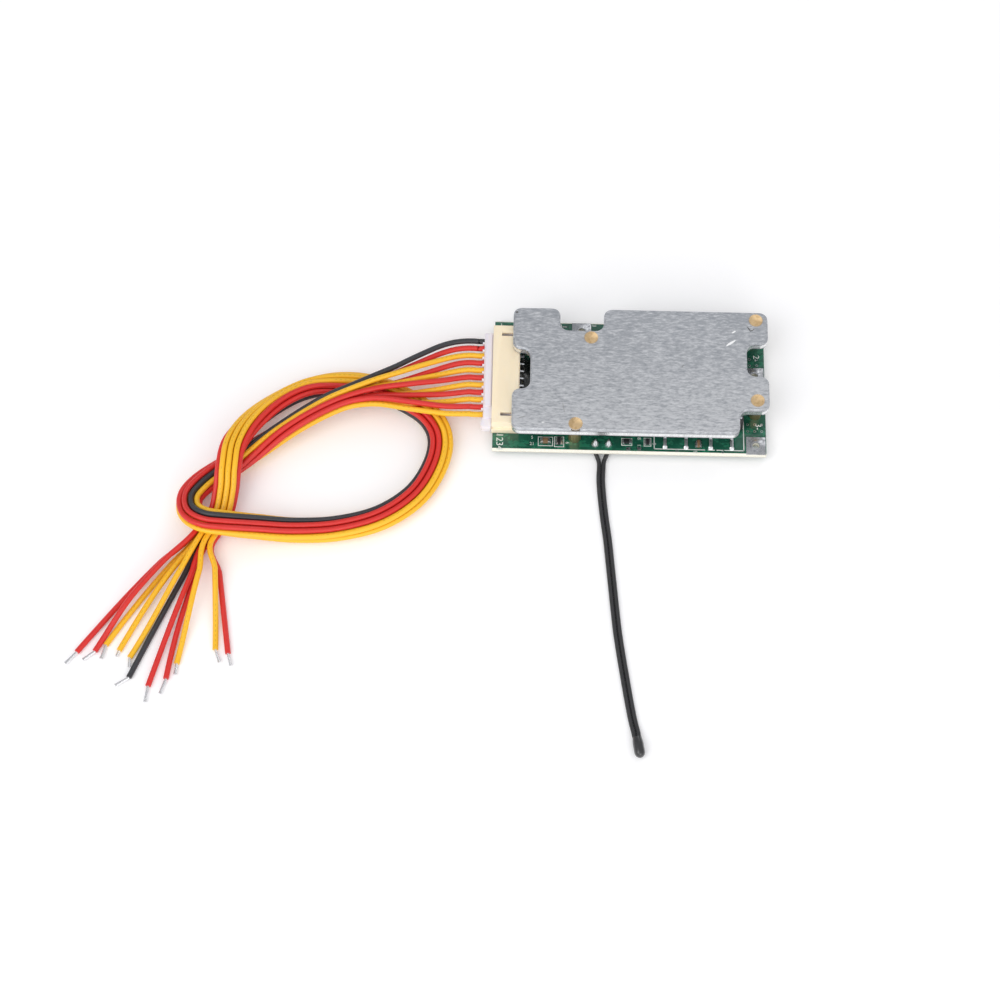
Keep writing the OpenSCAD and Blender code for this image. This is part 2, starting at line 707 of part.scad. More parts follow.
// Route of the bundle, in rows of [x, y, height, roll, shift]. The wires run
// left from the plug, over their own return, down round the left side, over
// their tails, and back round the right side to pass under and over the
// start. Roll tips the flat bundle on its side, in degrees, and shift moves
// the outer wires round the two inner ones, in lanes.
BUNDLE = [
    [wire_start_x, header_y, pin_z, 0, -0.2], [plug_back_x - 1.5, header_y, pin_z, 0, -0.2],
    [plug_back_x - 4.6, header_y, pin_z, 0, -0.2], [-46.5, -1.3, 6.2, 0, -0.2],
    [-54, -3, 6.7, 0, -0.2], [-62, -4.5, 6.8, 0, -0.2], [-70, -7, 6.4, 10, 0.1],
    [-77, -10.5, 5.2, 30, 0.5], [-84, -15, 4, 40, 0.9], [-91, -20, 2.95, 25, 1.3],
    [-97, -24.2, 2.4, 5, 1.6], [-102, -28.3, 2.5, 0, 1.8], [-104.5, -32.5, 3.6, 0, 2],
    [-103.8, -36.8, 5.2, 0, 2.2], [-100.3, -39.6, 6.7, 0, 2.4], [-95, -40.3, 6.5, 0, 2.6],
    [-88, -40, 4.4, 0, 2.8], [-79, -39.8, 2.6, 0, 3], [-69, -39, 2.3, 0, 3.2],
    [-59, -36, 2.3, 0, 3.4], [-51, -30, 2.3, 0, 3.6], [-46.5, -22, 2.3, 0, 3.8],
    [-45.5, -14.5, 2.3, 0, 4], [-48.5, -8.5, 2.3, 0, 4.2], [-55, -4, 2.3, 0, 4.4],
    [-62, -1.2, 2.3, 0, 4.6], [-70, -0.4, 2.3, 10, 4.8], [-78, -2.3, 3.3, 35, 5],
    [-85, -6.5, 3.9, 40, 5.2], [-91, -12.8, 5.4, 25, 5.4], [-94.5, -19.5, 7, 5, 5.6],
    [-95.5, -26, 7, 0, 5.8], [-96, -31, 4.8, 0, 6], [-97.3, -36, 2.3, 0, 6.2],
    [-100, -41, 2.3, 0, 6.3]];
bundle_end = len(BUNDLE) - 1;
fan_from = 2;       // rows over which the flat fan from the plug closes up
lift_to = 4.5;
fan_to = 6;
tail_rows = 4;      // length of the loose tails, counted as rows
tail_turn = 0.3;    // share of a tail that still follows the bundle
wire_rings = 54;
ring_lanes = 9;     // wires round the two inner ones

// Wires: [colour, lane, end x, end y, bow, fall from, fall to]. Lanes 0 to 8
// lie round the bundle and 9 and 10 inside it. Bow curves a tail sideways, and
// a tail comes down to the surface between the two shares of its length.
BLACK = [0.13, 0.13, 0.14];
RED = [0.85, 0.12, 0.1];
YELLOW = [0.98, 0.78, 0.1];
WIRES = [[BLACK, 8, -115.6, -77.3, -0.02, 0.35, 0.9], [RED, 7, -107, -77.4, -0.12, 0.35, 1],
    [YELLOW, 0, -121.6, -69.4, -0.08, 0, 0.6], [RED, 6, -93.1, -70.8, 0, 0, 0.6],
    [YELLOW, 9, -118.4, -70.7, -0.1, 0.35, 1], [RED, 1, -128.2, -71.3, -0.08, 0.15, 0.9],
    [YELLOW, 5, -96.1, -69.9, 0.02, 0.25, 0.95], [RED, 10, -111, -79.3, -0.04, 0.35, 1],
    [YELLOW, 4, -104.8, -73.6, 0, 0.35, 1], [RED, 2, -124, -71, -0.14, 0.55, 1],
    [YELLOW, 3, -115.8, -72.4, 0.02, 0.25, 0.95]];

// Place s along the racetrack that the outer wires lie on, as [across, up].
function track(s) =
    let (flat = (ring_lanes - 2 * PI) * lane / 2,
         bend = PI * lane,
         whole = 2 * (flat + bend),
         q = s - whole * floor(s / whole),
         a = (q - flat) / lane * 180 / PI,
         b = (q - 2 * flat - bend) / lane * 180 / PI)
    q < flat ? [q - flat / 2, lane]
    : q < flat + bend ? [flat / 2 + lane * sin(a), lane * cos(a)]
    : q < 2 * flat + bend ? [flat / 2 - (q - flat - bend), -lane]
    : [-flat / 2 - lane * sin(b), -lane * cos(b)];

function lane_at(k, shift) =
    k >= ring_lanes ? [(k - ring_lanes - 0.5) * lane, 0] : track((k + shift) * lane);

function bundle_at(u) = let (r = spline(BUNDLE, u)) [r[0], r[1], r[2]];
function bundle_dir(u) = unit(bundle_at(u + 0.05) - bundle_at(u - 0.05));

// Point of wire w while it is in the bundle.
function in_bundle(w, u) =
    let (row = spline(BUNDLE, u),
         t = bundle_dir(u),
         side = unit([-t.y, t.x, 0]),
         up = cross(t, side),
         s = lane_at(WIRES[w][1], row[4]),
         across = s.x * cos(row[3]) - s.y * sin(row[3]),
         high = s.x * sin(row[3]) + s.y * cos(row[3]),
         close = smooth((u - fan_from) / (fan_to - fan_from)),
         lift = smooth((u - fan_from) / (lift_to - fan_from)))
    bundle_at(u) + side * ((header_y - pin_y(w + 1)) * (1 - close) + across * close)
        + up * high * lift;

// Point of wire w along its loose tail, at share f of it.
function in_tail(w, f) =
    let (p = in_bundle(w, bundle_end),
         d = bundle_dir(bundle_end),
         low = wire_d / 2,
         to = [WIRES[w][2], WIRES[w][3], low] - p,
         reach = norm([to.x, to.y]),
         turn = smooth(f / tail_turn),
         fall = smooth((f - WIRES[w][5]) / (WIRES[w][6] - WIRES[w][5])),
         at = p + d * reach * f * (1 - turn) + to * f * turn
             + [-to.y, to.x, 0] * WIRES[w][4] * f * (1 - f))
    [at.x, at.y, low + (p.z - low) * (1 - fall)];

function wire_path(w) =
    [for (j = [0 : wire_rings])
        let (u = (bundle_end + tail_rows) * j / wire_rings)
        u <= bundle_end ? in_bundle(w, u) : in_tail(w, (u - bundle_end) / tail_rows)];

module wire(number) {
    color(WIRES[number - 1][0]) tube(wire_path(number - 1), wire_d / 2);
}

// Tinned strands that stand out of the end of a wire.
module strands(number) {
    path = wire_path(number - 1);
    p = path[wire_rings];
    t = p - path[wire_rings - 1];
    color([0.78, 0.78, 0.8])
    translate(p) rotate([0, 90, atan2(t.y, t.x)])
        translate([0, 0, 3 * skin]) cylinder(d = strand_d, h = strand_l, $fn = 16);
}

// ------------------------------------------------------------------ nodes

circuit_board();
heatsink_plate();
stud(back_left_at);  // stud_back_left
stud(back_right_at);  // stud_back_right
stud(front_right_at);  // stud_front_right
stud(front_left_at);  // stud_front_left
stud_screws();
thermal_pad();
transistor(fet_x(-1), -1);  // transistor_front_left
transistor(fet_x(1), -1);  // transistor_front_right
transistor(fet_x(-1), 1);  // transistor_back_left
transistor(fet_x(1), 1);  // transistor_back_right
transistor_solder();
controller_chip();
balance_resistors();
balance_switches();
shunt_resistors();
small_capacitors();
small_resistors();
header_housing();
header_pins();
header_solder();
plug_housing();
plug_contacts();
terminal(b_pad);  // b_terminal
terminal(p_pad);  // p_terminal
terminal(c_pad);  // c_terminal
probe_solder();
probe_lead(-1);  // probe_lead_left
probe_lead(1);  // probe_lead_right
probe_bead();
wire(1);  // wire_01_black
wire(2);  // wire_02_red
wire(3);  // wire_03_yellow
wire(4);  // wire_04_red
wire(5);  // wire_05_yellow
wire(6);  // wire_06_red
wire(7);  // wire_07_yellow
wire(8);  // wire_08_red
wire(9);  // wire_09_yellow
wire(10);  // wire_10_red
wire(11);  // wire_11_yellow
strands(1);  // strands_01
strands(2);  // strands_02
strands(3);  // strands_03
strands(4);  // strands_04
strands(5);  // strands_05
strands(6);  // strands_06
strands(7);  // strands_07
strands(8);  // strands_08
strands(9);  // strands_09
strands(10);  // strands_10
strands(11);  // strands_11
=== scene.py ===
"""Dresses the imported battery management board: finishes, small parts, cords, light and camera.

Every place is in the part's own frame, in metres once it reaches a mesh. Sizes in the dataclasses
are in millimetres, as on the part's drawing, and MM turns them into metres.
"""
import json
import logging
import math
from dataclasses import dataclass
from enum import Enum
from typing import Callable, ClassVar, Sequence

import bpy
import numpy as np
from mathutils import Matrix, Vector

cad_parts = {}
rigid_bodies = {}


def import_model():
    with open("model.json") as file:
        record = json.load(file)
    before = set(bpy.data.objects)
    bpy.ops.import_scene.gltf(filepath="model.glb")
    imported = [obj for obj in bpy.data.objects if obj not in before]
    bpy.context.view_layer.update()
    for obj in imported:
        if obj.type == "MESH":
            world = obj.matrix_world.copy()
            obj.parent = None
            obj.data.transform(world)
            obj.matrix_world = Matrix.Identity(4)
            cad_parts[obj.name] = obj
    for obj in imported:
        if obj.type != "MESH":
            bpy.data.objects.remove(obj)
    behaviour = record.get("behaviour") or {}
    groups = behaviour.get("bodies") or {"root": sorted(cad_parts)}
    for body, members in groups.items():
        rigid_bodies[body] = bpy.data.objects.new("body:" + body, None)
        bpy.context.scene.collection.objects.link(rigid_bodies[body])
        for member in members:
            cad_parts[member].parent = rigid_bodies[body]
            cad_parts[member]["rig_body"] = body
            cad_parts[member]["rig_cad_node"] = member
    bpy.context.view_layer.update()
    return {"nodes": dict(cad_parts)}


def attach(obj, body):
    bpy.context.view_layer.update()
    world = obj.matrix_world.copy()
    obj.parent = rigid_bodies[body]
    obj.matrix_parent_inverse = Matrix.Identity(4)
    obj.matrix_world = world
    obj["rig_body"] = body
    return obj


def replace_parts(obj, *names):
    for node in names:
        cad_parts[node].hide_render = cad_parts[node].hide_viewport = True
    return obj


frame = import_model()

MM = 0.001
Point = tuple[float, float, float]
Flat = tuple[float, float]
Colour = tuple[float, float, float]

logging.basicConfig(level=logging.INFO, format="%(name)s: %(message)s")
log = logging.getLogger("board")


# ---------------------------------------------------------------------------
# Named options
# ---------------------------------------------------------------------------


class Insulation(Enum):
    """The colours of the balance wires."""

    BLACK = "black"
    RED = "red"
    YELLOW = "yellow"


class ChipKind(Enum):
    """The kinds of chip part that differ in their body."""

    CAPACITOR = "capacitor"
    RESISTOR = "resistor"


# ---------------------------------------------------------------------------
# Modelling moves
# ---------------------------------------------------------------------------


class Bench:
    """Plain modelling moves. Each one starts with nothing selected; pick_faces and pick_points end in edit mode, the
    others in object mode.
    """

    @staticmethod
    def clear() -> None:
        """Deselect everything."""
        bpy.ops.object.select_all(action="DESELECT")

    @staticmethod
    def only(obj: bpy.types.Object) -> bpy.types.Object:
        """Select one object and make it active.

        Args:
            obj: The object to work on.

        Returns:
            The same object.
        """
        Bench.clear()
        obj.select_set(True)
        bpy.context.view_layer.objects.active = obj
        return obj

    @staticmethod
    def settle(obj: bpy.types.Object, name: str) -> bpy.types.Object:
        """Put an object's place into its mesh and name it.

        Args:
            obj: The object to settle.
            name: The name that the object and its mesh get.

        Returns:
            The same object, at the origin.
        """
        Bench.only(obj)
        bpy.ops.object.transform_apply(location=True, rotation=True, scale=True)
        obj.name = name
        obj.data.name = name
        return obj

    @staticmethod
    def box(name: str, low: Point, high: Point) -> bpy.types.Object:
        """Add a block between two corners.

        Args:
            name: The object's name.
            low: Lowest corner, in millimetres.
            high: Highest corner, in millimetres.

        Returns:
            The block, ready to be shaped.
        """
        Bench.clear()
        middle = [(a + b) / 2 * MM for a, b in zip(low, high)]
        size = [(b - a) * MM for a, b in zip(low, high)]
        bpy.ops.mesh.primitive_cube_add(size=1, location=middle, scale=size)
        return Bench.settle(bpy.context.object, name)

    @staticmethod
    def disc(name: str, at: Point, radius: float, sides: int) -> bpy.types.Object:
        """Add a flat filled circle that faces up.

        Args:
            name: The object's name.
            at: Its middle, in millimetres.
            radius: Its radius, in millimetres.
            sides: How many sides it has.

        Returns:
            The disc, ready to be extruded.
        """
        Bench.clear()
        bpy.ops.mesh.primitive_circle_add(
            vertices=sides, radius=radius * MM, fill_type="NGON", location=[v * MM for v in at])
        return Bench.settle(bpy.context.object, name)

    @staticmethod
    def pick_faces(obj: bpy.types.Object, test: Callable[[bpy.types.MeshPolygon], bool]) -> None:
        """Enter edit mode on an object with some of its faces selected.

        Args:
            obj: The object to edit.
            test: Says of each face whether it is selected.
        """
        Bench.only(obj)
        bpy.ops.object.mode_set(mode="EDIT")
        bpy.ops.mesh.select_mode(type="FACE")
        bpy.ops.mesh.select_all(action="DESELECT")
        bpy.ops.object.mode_set(mode="OBJECT")
        for face in obj.data.polygons:
            face.select = test(face)
        bpy.ops.object.mode_set(mode="EDIT")

    @staticmethod
    def pick_points(obj: bpy.types.Object, test: Callable[[Vector], bool]) -> None:
        """Enter edit mode on an object with some of its points selected.

        Args:
            obj: The object to edit.
            test: Says of each point's place, in millimetres, whether it is selected.
        """
        Bench.only(obj)
        bpy.ops.object.mode_set(mode="EDIT")
        bpy.ops.mesh.select_mode(type="VERT")
        bpy.ops.mesh.select_all(action="DESELECT")
        bpy.ops.object.mode_set(mode="OBJECT")
        for point in obj.data.vertices:
            point.select = test(point.co / MM)
        bpy.ops.object.mode_set(mode="EDIT")

    @staticmethod
    def ring(name: str, at: Point, outer: float, inner: float, height: float, sides: int) -> bpy.types.Object:
        """Add a flat ring with square edges.

        Args:
            name: The object's name.
            at: The middle of its underside, in millimetres.
            outer: Its outer radius, in millimetres.
            inner: Its inner radius, in millimetres.
            height: Its height, in millimetres.
            sides: How many sides it has.

        Returns:
            The ring.
        """
        rim = Bench.disc(name, at, outer, sides)
        Bench.pick_faces(rim, lambda face: True)
        bpy.ops.mesh.inset(thickness=(outer - inner) * MM, depth=0)
        bpy.ops.mesh.delete(type="FACE")
        bpy.ops.mesh.select_all(action="SELECT")
        bpy.ops.mesh.extrude_region_move(TRANSFORM_OT_translate={"value": (0, 0, height * MM)})
        bpy.ops.mesh.select_all(action="SELECT")
        bpy.ops.mesh.normals_make_consistent(inside=False)
        bpy.ops.object.mode_set(mode="OBJECT")
        return rim

    @staticmethod
    def cut(obj: bpy.types.Object, tool: bpy.types.Object) -> bpy.types.Object:
        """Cut one object out of another.

        Args:
            obj: The object that is cut.
            tool: The shape that is taken out, which is removed afterwards.

        Returns:
            The cut object.
        """
        Bench.modify(obj, "BOOLEAN", operation="DIFFERENCE", object=tool, solver="EXACT")
        bpy.data.objects.remove(tool)
        return obj

    @staticmethod
    def modify(obj: bpy.types.Object, kind: str, **values: object) -> bpy.types.Object:
        """Add a modifier and apply it.

        Args:
            obj: The object that gets the modifier.
            kind: The modifier's type, such as BEVEL.
            **values: The modifier's settings.

        Returns:
            The same object.
        """
        Bench.only(obj)
        modifier = obj.modifiers.new(kind.title(), kind)
        for key, value in values.items():
            setattr(modifier, key, value)
        bpy.ops.object.modifier_apply(modifier=modifier.name)
        return obj

    @staticmethod
    def bevel(obj: bpy.types.Object, width: float, segments: int = 2, angle: float = 35) -> bpy.types.Object:
        """Round an object's edges.

        Args:
            obj: The object to round.
            width: The width of the bevel, in millimetres.
            segments: How many faces cross it.
            angle: The least angle of an edge that is rounded, in degrees.

        Returns:
            The same object.
        """
        return Bench.modify(obj, "BEVEL", width=width * MM, segments=segments, limit_method="ANGLE",
                            angle_limit=math.radians(angle), use_clamp_overlap=True,
                            harden_normals=False)

    @staticmethod
    def smooth(obj: bpy.types.Object, angle: float = 35) -> bpy.types.Object:
        """Shade an object smoothly across its gentle edges.

        Args:
            obj: The object to shade.
            angle: The least angle that stays sharp, in degrees.

        Returns:
            The same object.
        """
        Bench.only(obj)
        bpy.ops.object.shade_smooth_by_angle(angle=math.radians(angle))
        return obj

    @staticmethod
    def join(name: str, parts: Sequence[bpy.types.Object]) -> bpy.types.Object:
        """Join objects into one.

        Args:
            name: The joined object's name.
            parts: The objects, whose materials are kept.

        Returns:
            The joined object.
        """
        Bench.clear()
        for part in parts:
            part.select_set(True)
        bpy.context.view_layer.objects.active = parts[0]
        if len(parts) > 1:
            bpy.ops.object.join()
        return Bench.settle(bpy.context.object, name)

    @staticmethod
    def copy(obj: bpy.types.Object, name: str, place: Matrix) -> bpy.types.Object:
        """Copy an object with a mesh of its own, and move the copy.

        Args:
            obj: The object to copy.
            name: The copy's name.
            place: Where the copy goes, from where the object is.

        Returns:
            The copy, at the origin with its place in its mesh.
        """
        Bench.only(obj)
        bpy.ops.object.duplicate()
        twin = bpy.context.object
        twin.matrix_world = place
        return Bench.settle(twin, name)

    @staticmethod
    def from_node(node: str, bevel: float, angle: float = 35) -> bpy.types.Object:
        """Make a dressed piece from a CAD node: its faces merged and its edges rounded.

        Args:
            node: The CAD node that the piece stands for.
            bevel: The width of the rounding in millimetres, or 0 for none.
            angle: The least angle of an edge that is rounded, in degrees.

        Returns:
            The piece, which replaces the node.
        """
        Bench.only(frame["nodes"][node])
        bpy.ops.object.duplicate()
        piece = bpy.context.object
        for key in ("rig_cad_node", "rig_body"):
            if key in piece:
                del piece[key]
        piece.parent = None
        piece.matrix_world = Matrix.Identity(4)
        piece.name = node + "_dressed"
        piece.data.name = piece.name
        if piece.data.has_custom_normals:
            bpy.ops.mesh.customdata_custom_splitnormals_clear()
        bpy.ops.object.mode_set(mode="EDIT")
        bpy.ops.mesh.select_mode(type="VERT")
        bpy.ops.mesh.select_all(action="SELECT")
        bpy.ops.mesh.remove_doubles(threshold=0.5e-6)
        bpy.ops.mesh.dissolve_limited(angle_limit=math.radians(0.6))
        bpy.ops.object.mode_set(mode="OBJECT")
        if bevel:
            Bench.bevel(piece, bevel, angle=angle)
        Bench.smooth(piece, angle)
        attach(piece, "root")
        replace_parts(piece, node)
        return piece


# ---------------------------------------------------------------------------
# Shader nodes
# ---------------------------------------------------------------------------


class Graph:
    """A node tree with short calls for the nodes that the finishes use."""

    def __init__(self, tree: bpy.types.NodeTree) -> None:
        """Wrap a node tree."""
        self.tree = tree

    def node(self, kind: str, inputs: dict[str | int, object] | None = None, **values: object) -> bpy.types.Node:
        """Add a node.

        Args:
            kind: The node's type.
            inputs: What its inputs are: sockets to link, or values.
            **values: The node's own settings.

        Returns:
            The node.
        """
        node = self.tree.nodes.new(kind)
        for key, value in values.items():
            setattr(node, key, value)
        for key, value in (inputs or {}).items():
            self.feed(node.inputs[key], value)
        return node

    def feed(self, socket: bpy.types.NodeSocket, value: object) -> None:
        """Link a socket to another one, or set its value."""
        if isinstance(value, bpy.types.NodeSocket):
            self.tree.links.new(value, socket)
        else:
            socket.default_value = value

    def math(self, operation: str, *values: object, clamp: bool = False) -> bpy.types.NodeSocket:
        """Work out a number.

        Args:
            operation: The Math node's operation.
            *values: Its inputs, sockets or numbers.
            clamp: Whether the result stays between 0 and 1.

        Returns:
            The result's socket.
        """
        return self.node("ShaderNodeMath", dict(enumerate(values)), operation=operation,
                         use_clamp=clamp).outputs[0]

    def near(self, value: object, low: float, high: float) -> bpy.types.NodeSocket:
        """Turn a number into a mask that rises from 0 at low to 1 at high."""
        return self.node("ShaderNodeMapRange", {0: value, 1: low, 2: high}).outputs[0]

    def mix(self, factor: object, first: object, second: object) -> bpy.types.NodeSocket:
        """Mix two colours.

        Args:
            factor: How much of the second shows, a socket or a number.
            first: A colour or its socket.
            second: A colour or its socket.

        Returns:
            The mixed colour's socket.
        """
        node = self.node("ShaderNodeMix", data_type="RGBA")
        self.feed(node.inputs[0], factor)
        self.feed(node.inputs[6], rgba(first))
        self.feed(node.inputs[7], rgba(second))
        return node.outputs[2]

    def blend(self, factor: object, first: object, second: object) -> bpy.types.NodeSocket:
        """Mix two numbers."""
        return self.node("ShaderNodeMix", {0: factor, 2: first, 3: second}, data_type="FLOAT").outputs[0]

    def noise(self, vector: object, scale: float, detail: float = 2, rough: float = 0.5) -> bpy.types.NodeSocket:
        """Add noise.

        Args:
            vector: The coordinates' socket.
            scale: Cells in a metre.
            detail: How many finer layers it has.
            rough: How strong the finer layers are.

        Returns:
            The noise's socket, between 0 and 1.
        """
        return self.node("ShaderNodeTexNoise", {"Vector": vector, "Scale": scale, "Detail": detail,
                                                "Roughness": rough}).outputs[0]

    def stretched(self, vector: object, scale: Point) -> bpy.types.NodeSocket:
        """Scale coordinates along each axis."""
        return self.node("ShaderNodeMapping", {"Vector": vector, "Scale": scale}).outputs[0]

    def place(self) -> bpy.types.NodeSocket:
        """Object coordinates, in metres in the part's frame."""
        return self.node("ShaderNodeTexCoord").outputs["Object"]

    def split(self, vector: object) -> list[bpy.types.NodeSocket]:
        """The X, Y and Z of a vector."""
        return list(self.node("ShaderNodeSeparateXYZ", {0: vector}).outputs)


def rgba(colour: object) -> object:
    """Give a plain colour its alpha, and leave a socket as it is."""
    return (*colour, 1.0) if isinstance(colour, tuple) and len(colour) == 3 else colour


def new_group(name: str, inputs: dict[str, tuple[str, object]], outputs: dict[str, str]) -> tuple[bpy.types.NodeTree, Graph]:
    """Start a shader node group with named sockets.

    Args:
        name: The group's name.
        inputs: Each input's socket type and default value.
        outputs: Each output's socket type.

    Returns:
        The group and its graph.
    """
    tree = bpy.data.node_groups.new(name, "ShaderNodeTree")
    for key, (kind, value) in inputs.items():
        socket = tree.interface.new_socket(key, in_out="INPUT", socket_type=kind)
        if value is not None:
            socket.default_value = value
    for key, kind in outputs.items():
        tree.interface.new_socket(key, in_out="OUTPUT", socket_type=kind)
    return tree, Graph(tree)


class Effects:
    """The node groups that several finishes share, each built when it is first used."""

    _built: dict[str, bpy.types.NodeTree] = {}

    @classmethod
    def grain(cls) -> bpy.types.NodeTree:
        """Fine rolled grain: long streaks, short pits and broad cloudy tone.

        Returns:
            The group, with Height, Streak and Cloud outputs.
        """
        if "grain" not in cls._built:
            tree, graph = new_group("rolled_grain", {"Vector": ("NodeSocketVector", None), "Fineness": ("NodeSocketFloat", 1.0)},
                                    {"Height": "NodeSocketFloat", "Streak": "NodeSocketFloat", "Cloud": "NodeSocketFloat"})
            given = graph.node("NodeGroupInput")
            fine = graph.node("ShaderNodeVectorMath", {0: given.outputs["Vector"]}, operation="SCALE")
            graph.feed(fine.inputs["Scale"], given.outputs["Fineness"])
            streak = graph.noise(graph.stretched(fine.outputs[0], (650, 2300, 2300)), 1, 4, 0.7)
            pits = graph.noise(graph.stretched(fine.outputs[0], (1500, 2600, 2600)), 1, 3, 0.6)
            cloud = graph.noise(graph.stretched(fine.outputs[0], (55, 110, 110)), 1, 3, 0.55)
            height = graph.math("ADD", graph.math("MULTIPLY", streak, 0.6), graph.math("MULTIPLY", pits, 0.55))
            out = graph.node("NodeGroupOutput")
            for key, socket in (("Height", height), ("Streak", streak), ("Cloud", cloud)):
                graph.feed(out.inputs[key], socket)
            cls._built["grain"] = tree
        return cls._built["grain"]

    @classmethod
    def moulding(cls) -> bpy.types.NodeTree:
        """Moulded surface: fine spark texture, faint flow marks and a little dust.

        Returns:
            The group, with Height, Flow and Dust outputs.
        """
        if "moulding" not in cls._built:
            tree, graph = new_group("moulded_skin", {"Vector": ("NodeSocketVector", None), "Scale": ("NodeSocketFloat", 1.0)},
                                    {"Height": "NodeSocketFloat", "Flow": "NodeSocketFloat", "Dust": "NodeSocketFloat"})
            given = graph.node("NodeGroupInput")
            scaled = graph.node("ShaderNodeVectorMath", {0: given.outputs["Vector"]}, operation="SCALE")
            graph.feed(scaled.inputs["Scale"], given.outputs["Scale"])
            spark = graph.noise(scaled.outputs[0], 6500, 3, 0.6)
            flow = graph.noise(graph.stretched(scaled.outputs[0], (180, 60, 220)), 1, 3, 0.5)
            dust = graph.near(graph.noise(scaled.outputs[0], 1900, 2, 0.5), 0.66, 0.74)
            out = graph.node("NodeGroupOutput")
            for key, socket in (("Height", spark), ("Flow", flow), ("Dust", dust)):
                graph.feed(out.inputs[key], socket)
            cls._built["moulding"] = tree
        return cls._built["moulding"]

    @classmethod
    def scratches(cls) -> bpy.types.NodeTree:
        """Sparse hairline scratches in two directions.

        Returns:
            The group, with a Mask output.
        """
        if "scratches" not in cls._built:
            tree, graph = new_group("hairline_scratches", {"Vector": ("NodeSocketVector", None), "Amount": ("NodeSocketFloat", 0.5)},
                                    {"Mask": "NodeSocketFloat"})
            given = graph.node("NodeGroupInput")
            lines = []
            for turn, along in ((0.35, 90), (-0.9, 60)):
                turned = graph.node("ShaderNodeMapping", {"Vector": given.outputs["Vector"], "Rotation": (0, 0, turn)})
                field_ = graph.noise(graph.stretched(turned.outputs[0], (along, 2600, 900)), 1, 1, 0.4)
                lines.append(graph.near(field_, 0.735, 0.76))
            patch = graph.near(graph.noise(given.outputs["Vector"], 70, 2), 0.5, 0.68)
            mask = graph.math("MULTIPLY", graph.math("MAXIMUM", *lines), patch)
            out = graph.node("NodeGroupOutput")
            graph.feed(out.inputs["Mask"], graph.math("MULTIPLY", mask, given.outputs["Amount"]))
            cls._built["scratches"] = tree
        return cls._built["scratches"]


class Shader:
    """A material under construction: its graph, its Principled BSDF and its height field."""

    def __init__(self, name: str, **plain: object) -> None:
        """Start a material.

        Args:
            name: The material's name.
            **plain: Values that are the same all over, by the shader's own socket name with
                underscores for spaces.
        """
        self.material = bpy.data.materials.new(name)
        self.material.use_nodes = True
        self.graph = Graph(self.material.node_tree)
        self.bsdf = self.material.node_tree.nodes["Principled BSDF"]
        for key, value in plain.items():
            self.bsdf.inputs[key.replace("_", " ")].default_value = value

    def group(self, tree: bpy.types.NodeTree, **inputs: object) -> bpy.types.Node:
        """Place a node group.

        Args:
            tree: The group.
            **inputs: What its inputs are.

        Returns:
            The group's node.
        """
        node = self.graph.tree.nodes.new("ShaderNodeGroup")
        node.node_tree = tree
        for key, value in inputs.items():
            self.graph.feed(node.inputs[key], value)
        return node

    def set(self, name: str, value: object) -> None:
        """Feed one of the shader's sockets."""
        self.graph.feed(self.bsdf.inputs[name], value)

    def bump(self, height: object, depth: float, strength: float = 1.0) -> None:
        """Give the surface its relief.

        Args:
            height: The height field's socket, about 0 to 1.
            depth: How deep 1 is, in millimetres.
            strength: How much of it counts.
        """
        node = self.graph.node("ShaderNodeBump", {"Strength": strength, "Distance": depth * MM, "Height": height})
        self.set("Normal", node.outputs[0])


# ---------------------------------------------------------------------------
# Finishes
# ---------------------------------------------------------------------------


@dataclass(frozen=True)
class Finish:
    """A finish, whose material is made when it is first asked for.

    Attributes:
        name: The material's name.
        slot: The record's material slot that it belongs to; it is not used.
    """

    name: str
    slot: str
    _made: ClassVar[dict[str, bpy.types.Material]] = {}

    def material(self) -> bpy.types.Material:
        """The finish's material."""
        if self.name not in self._made:
            shader = Shader(self.name)
            self.draw(shader)
            self._made[self.name] = shader.material
        return self._made[self.name]

    def draw(self, shader: Shader) -> None:
        """Lay out the material's nodes."""
        raise NotImplementedError

    def dress(self, piece: bpy.types.Object) -> bpy.types.Object:
        """Give a piece this finish alone.

        Args:
            piece: The piece to dress.

        Returns:
            The same piece.
        """
        piece.data.materials.clear()
        piece.data.materials.append(self.material())
        return piece


@dataclass(frozen=True)
class Wear:
    """A mark on the plate: an ellipse on its top face, in millimetres.

    Attributes:
        at: Its middle.
        size: Its half length and half width.
        turn: How far its length is turned from X, in degrees.
        tone: How bright it is.
    """

    at: Flat
    size: Flat
    turn: float
    tone: float


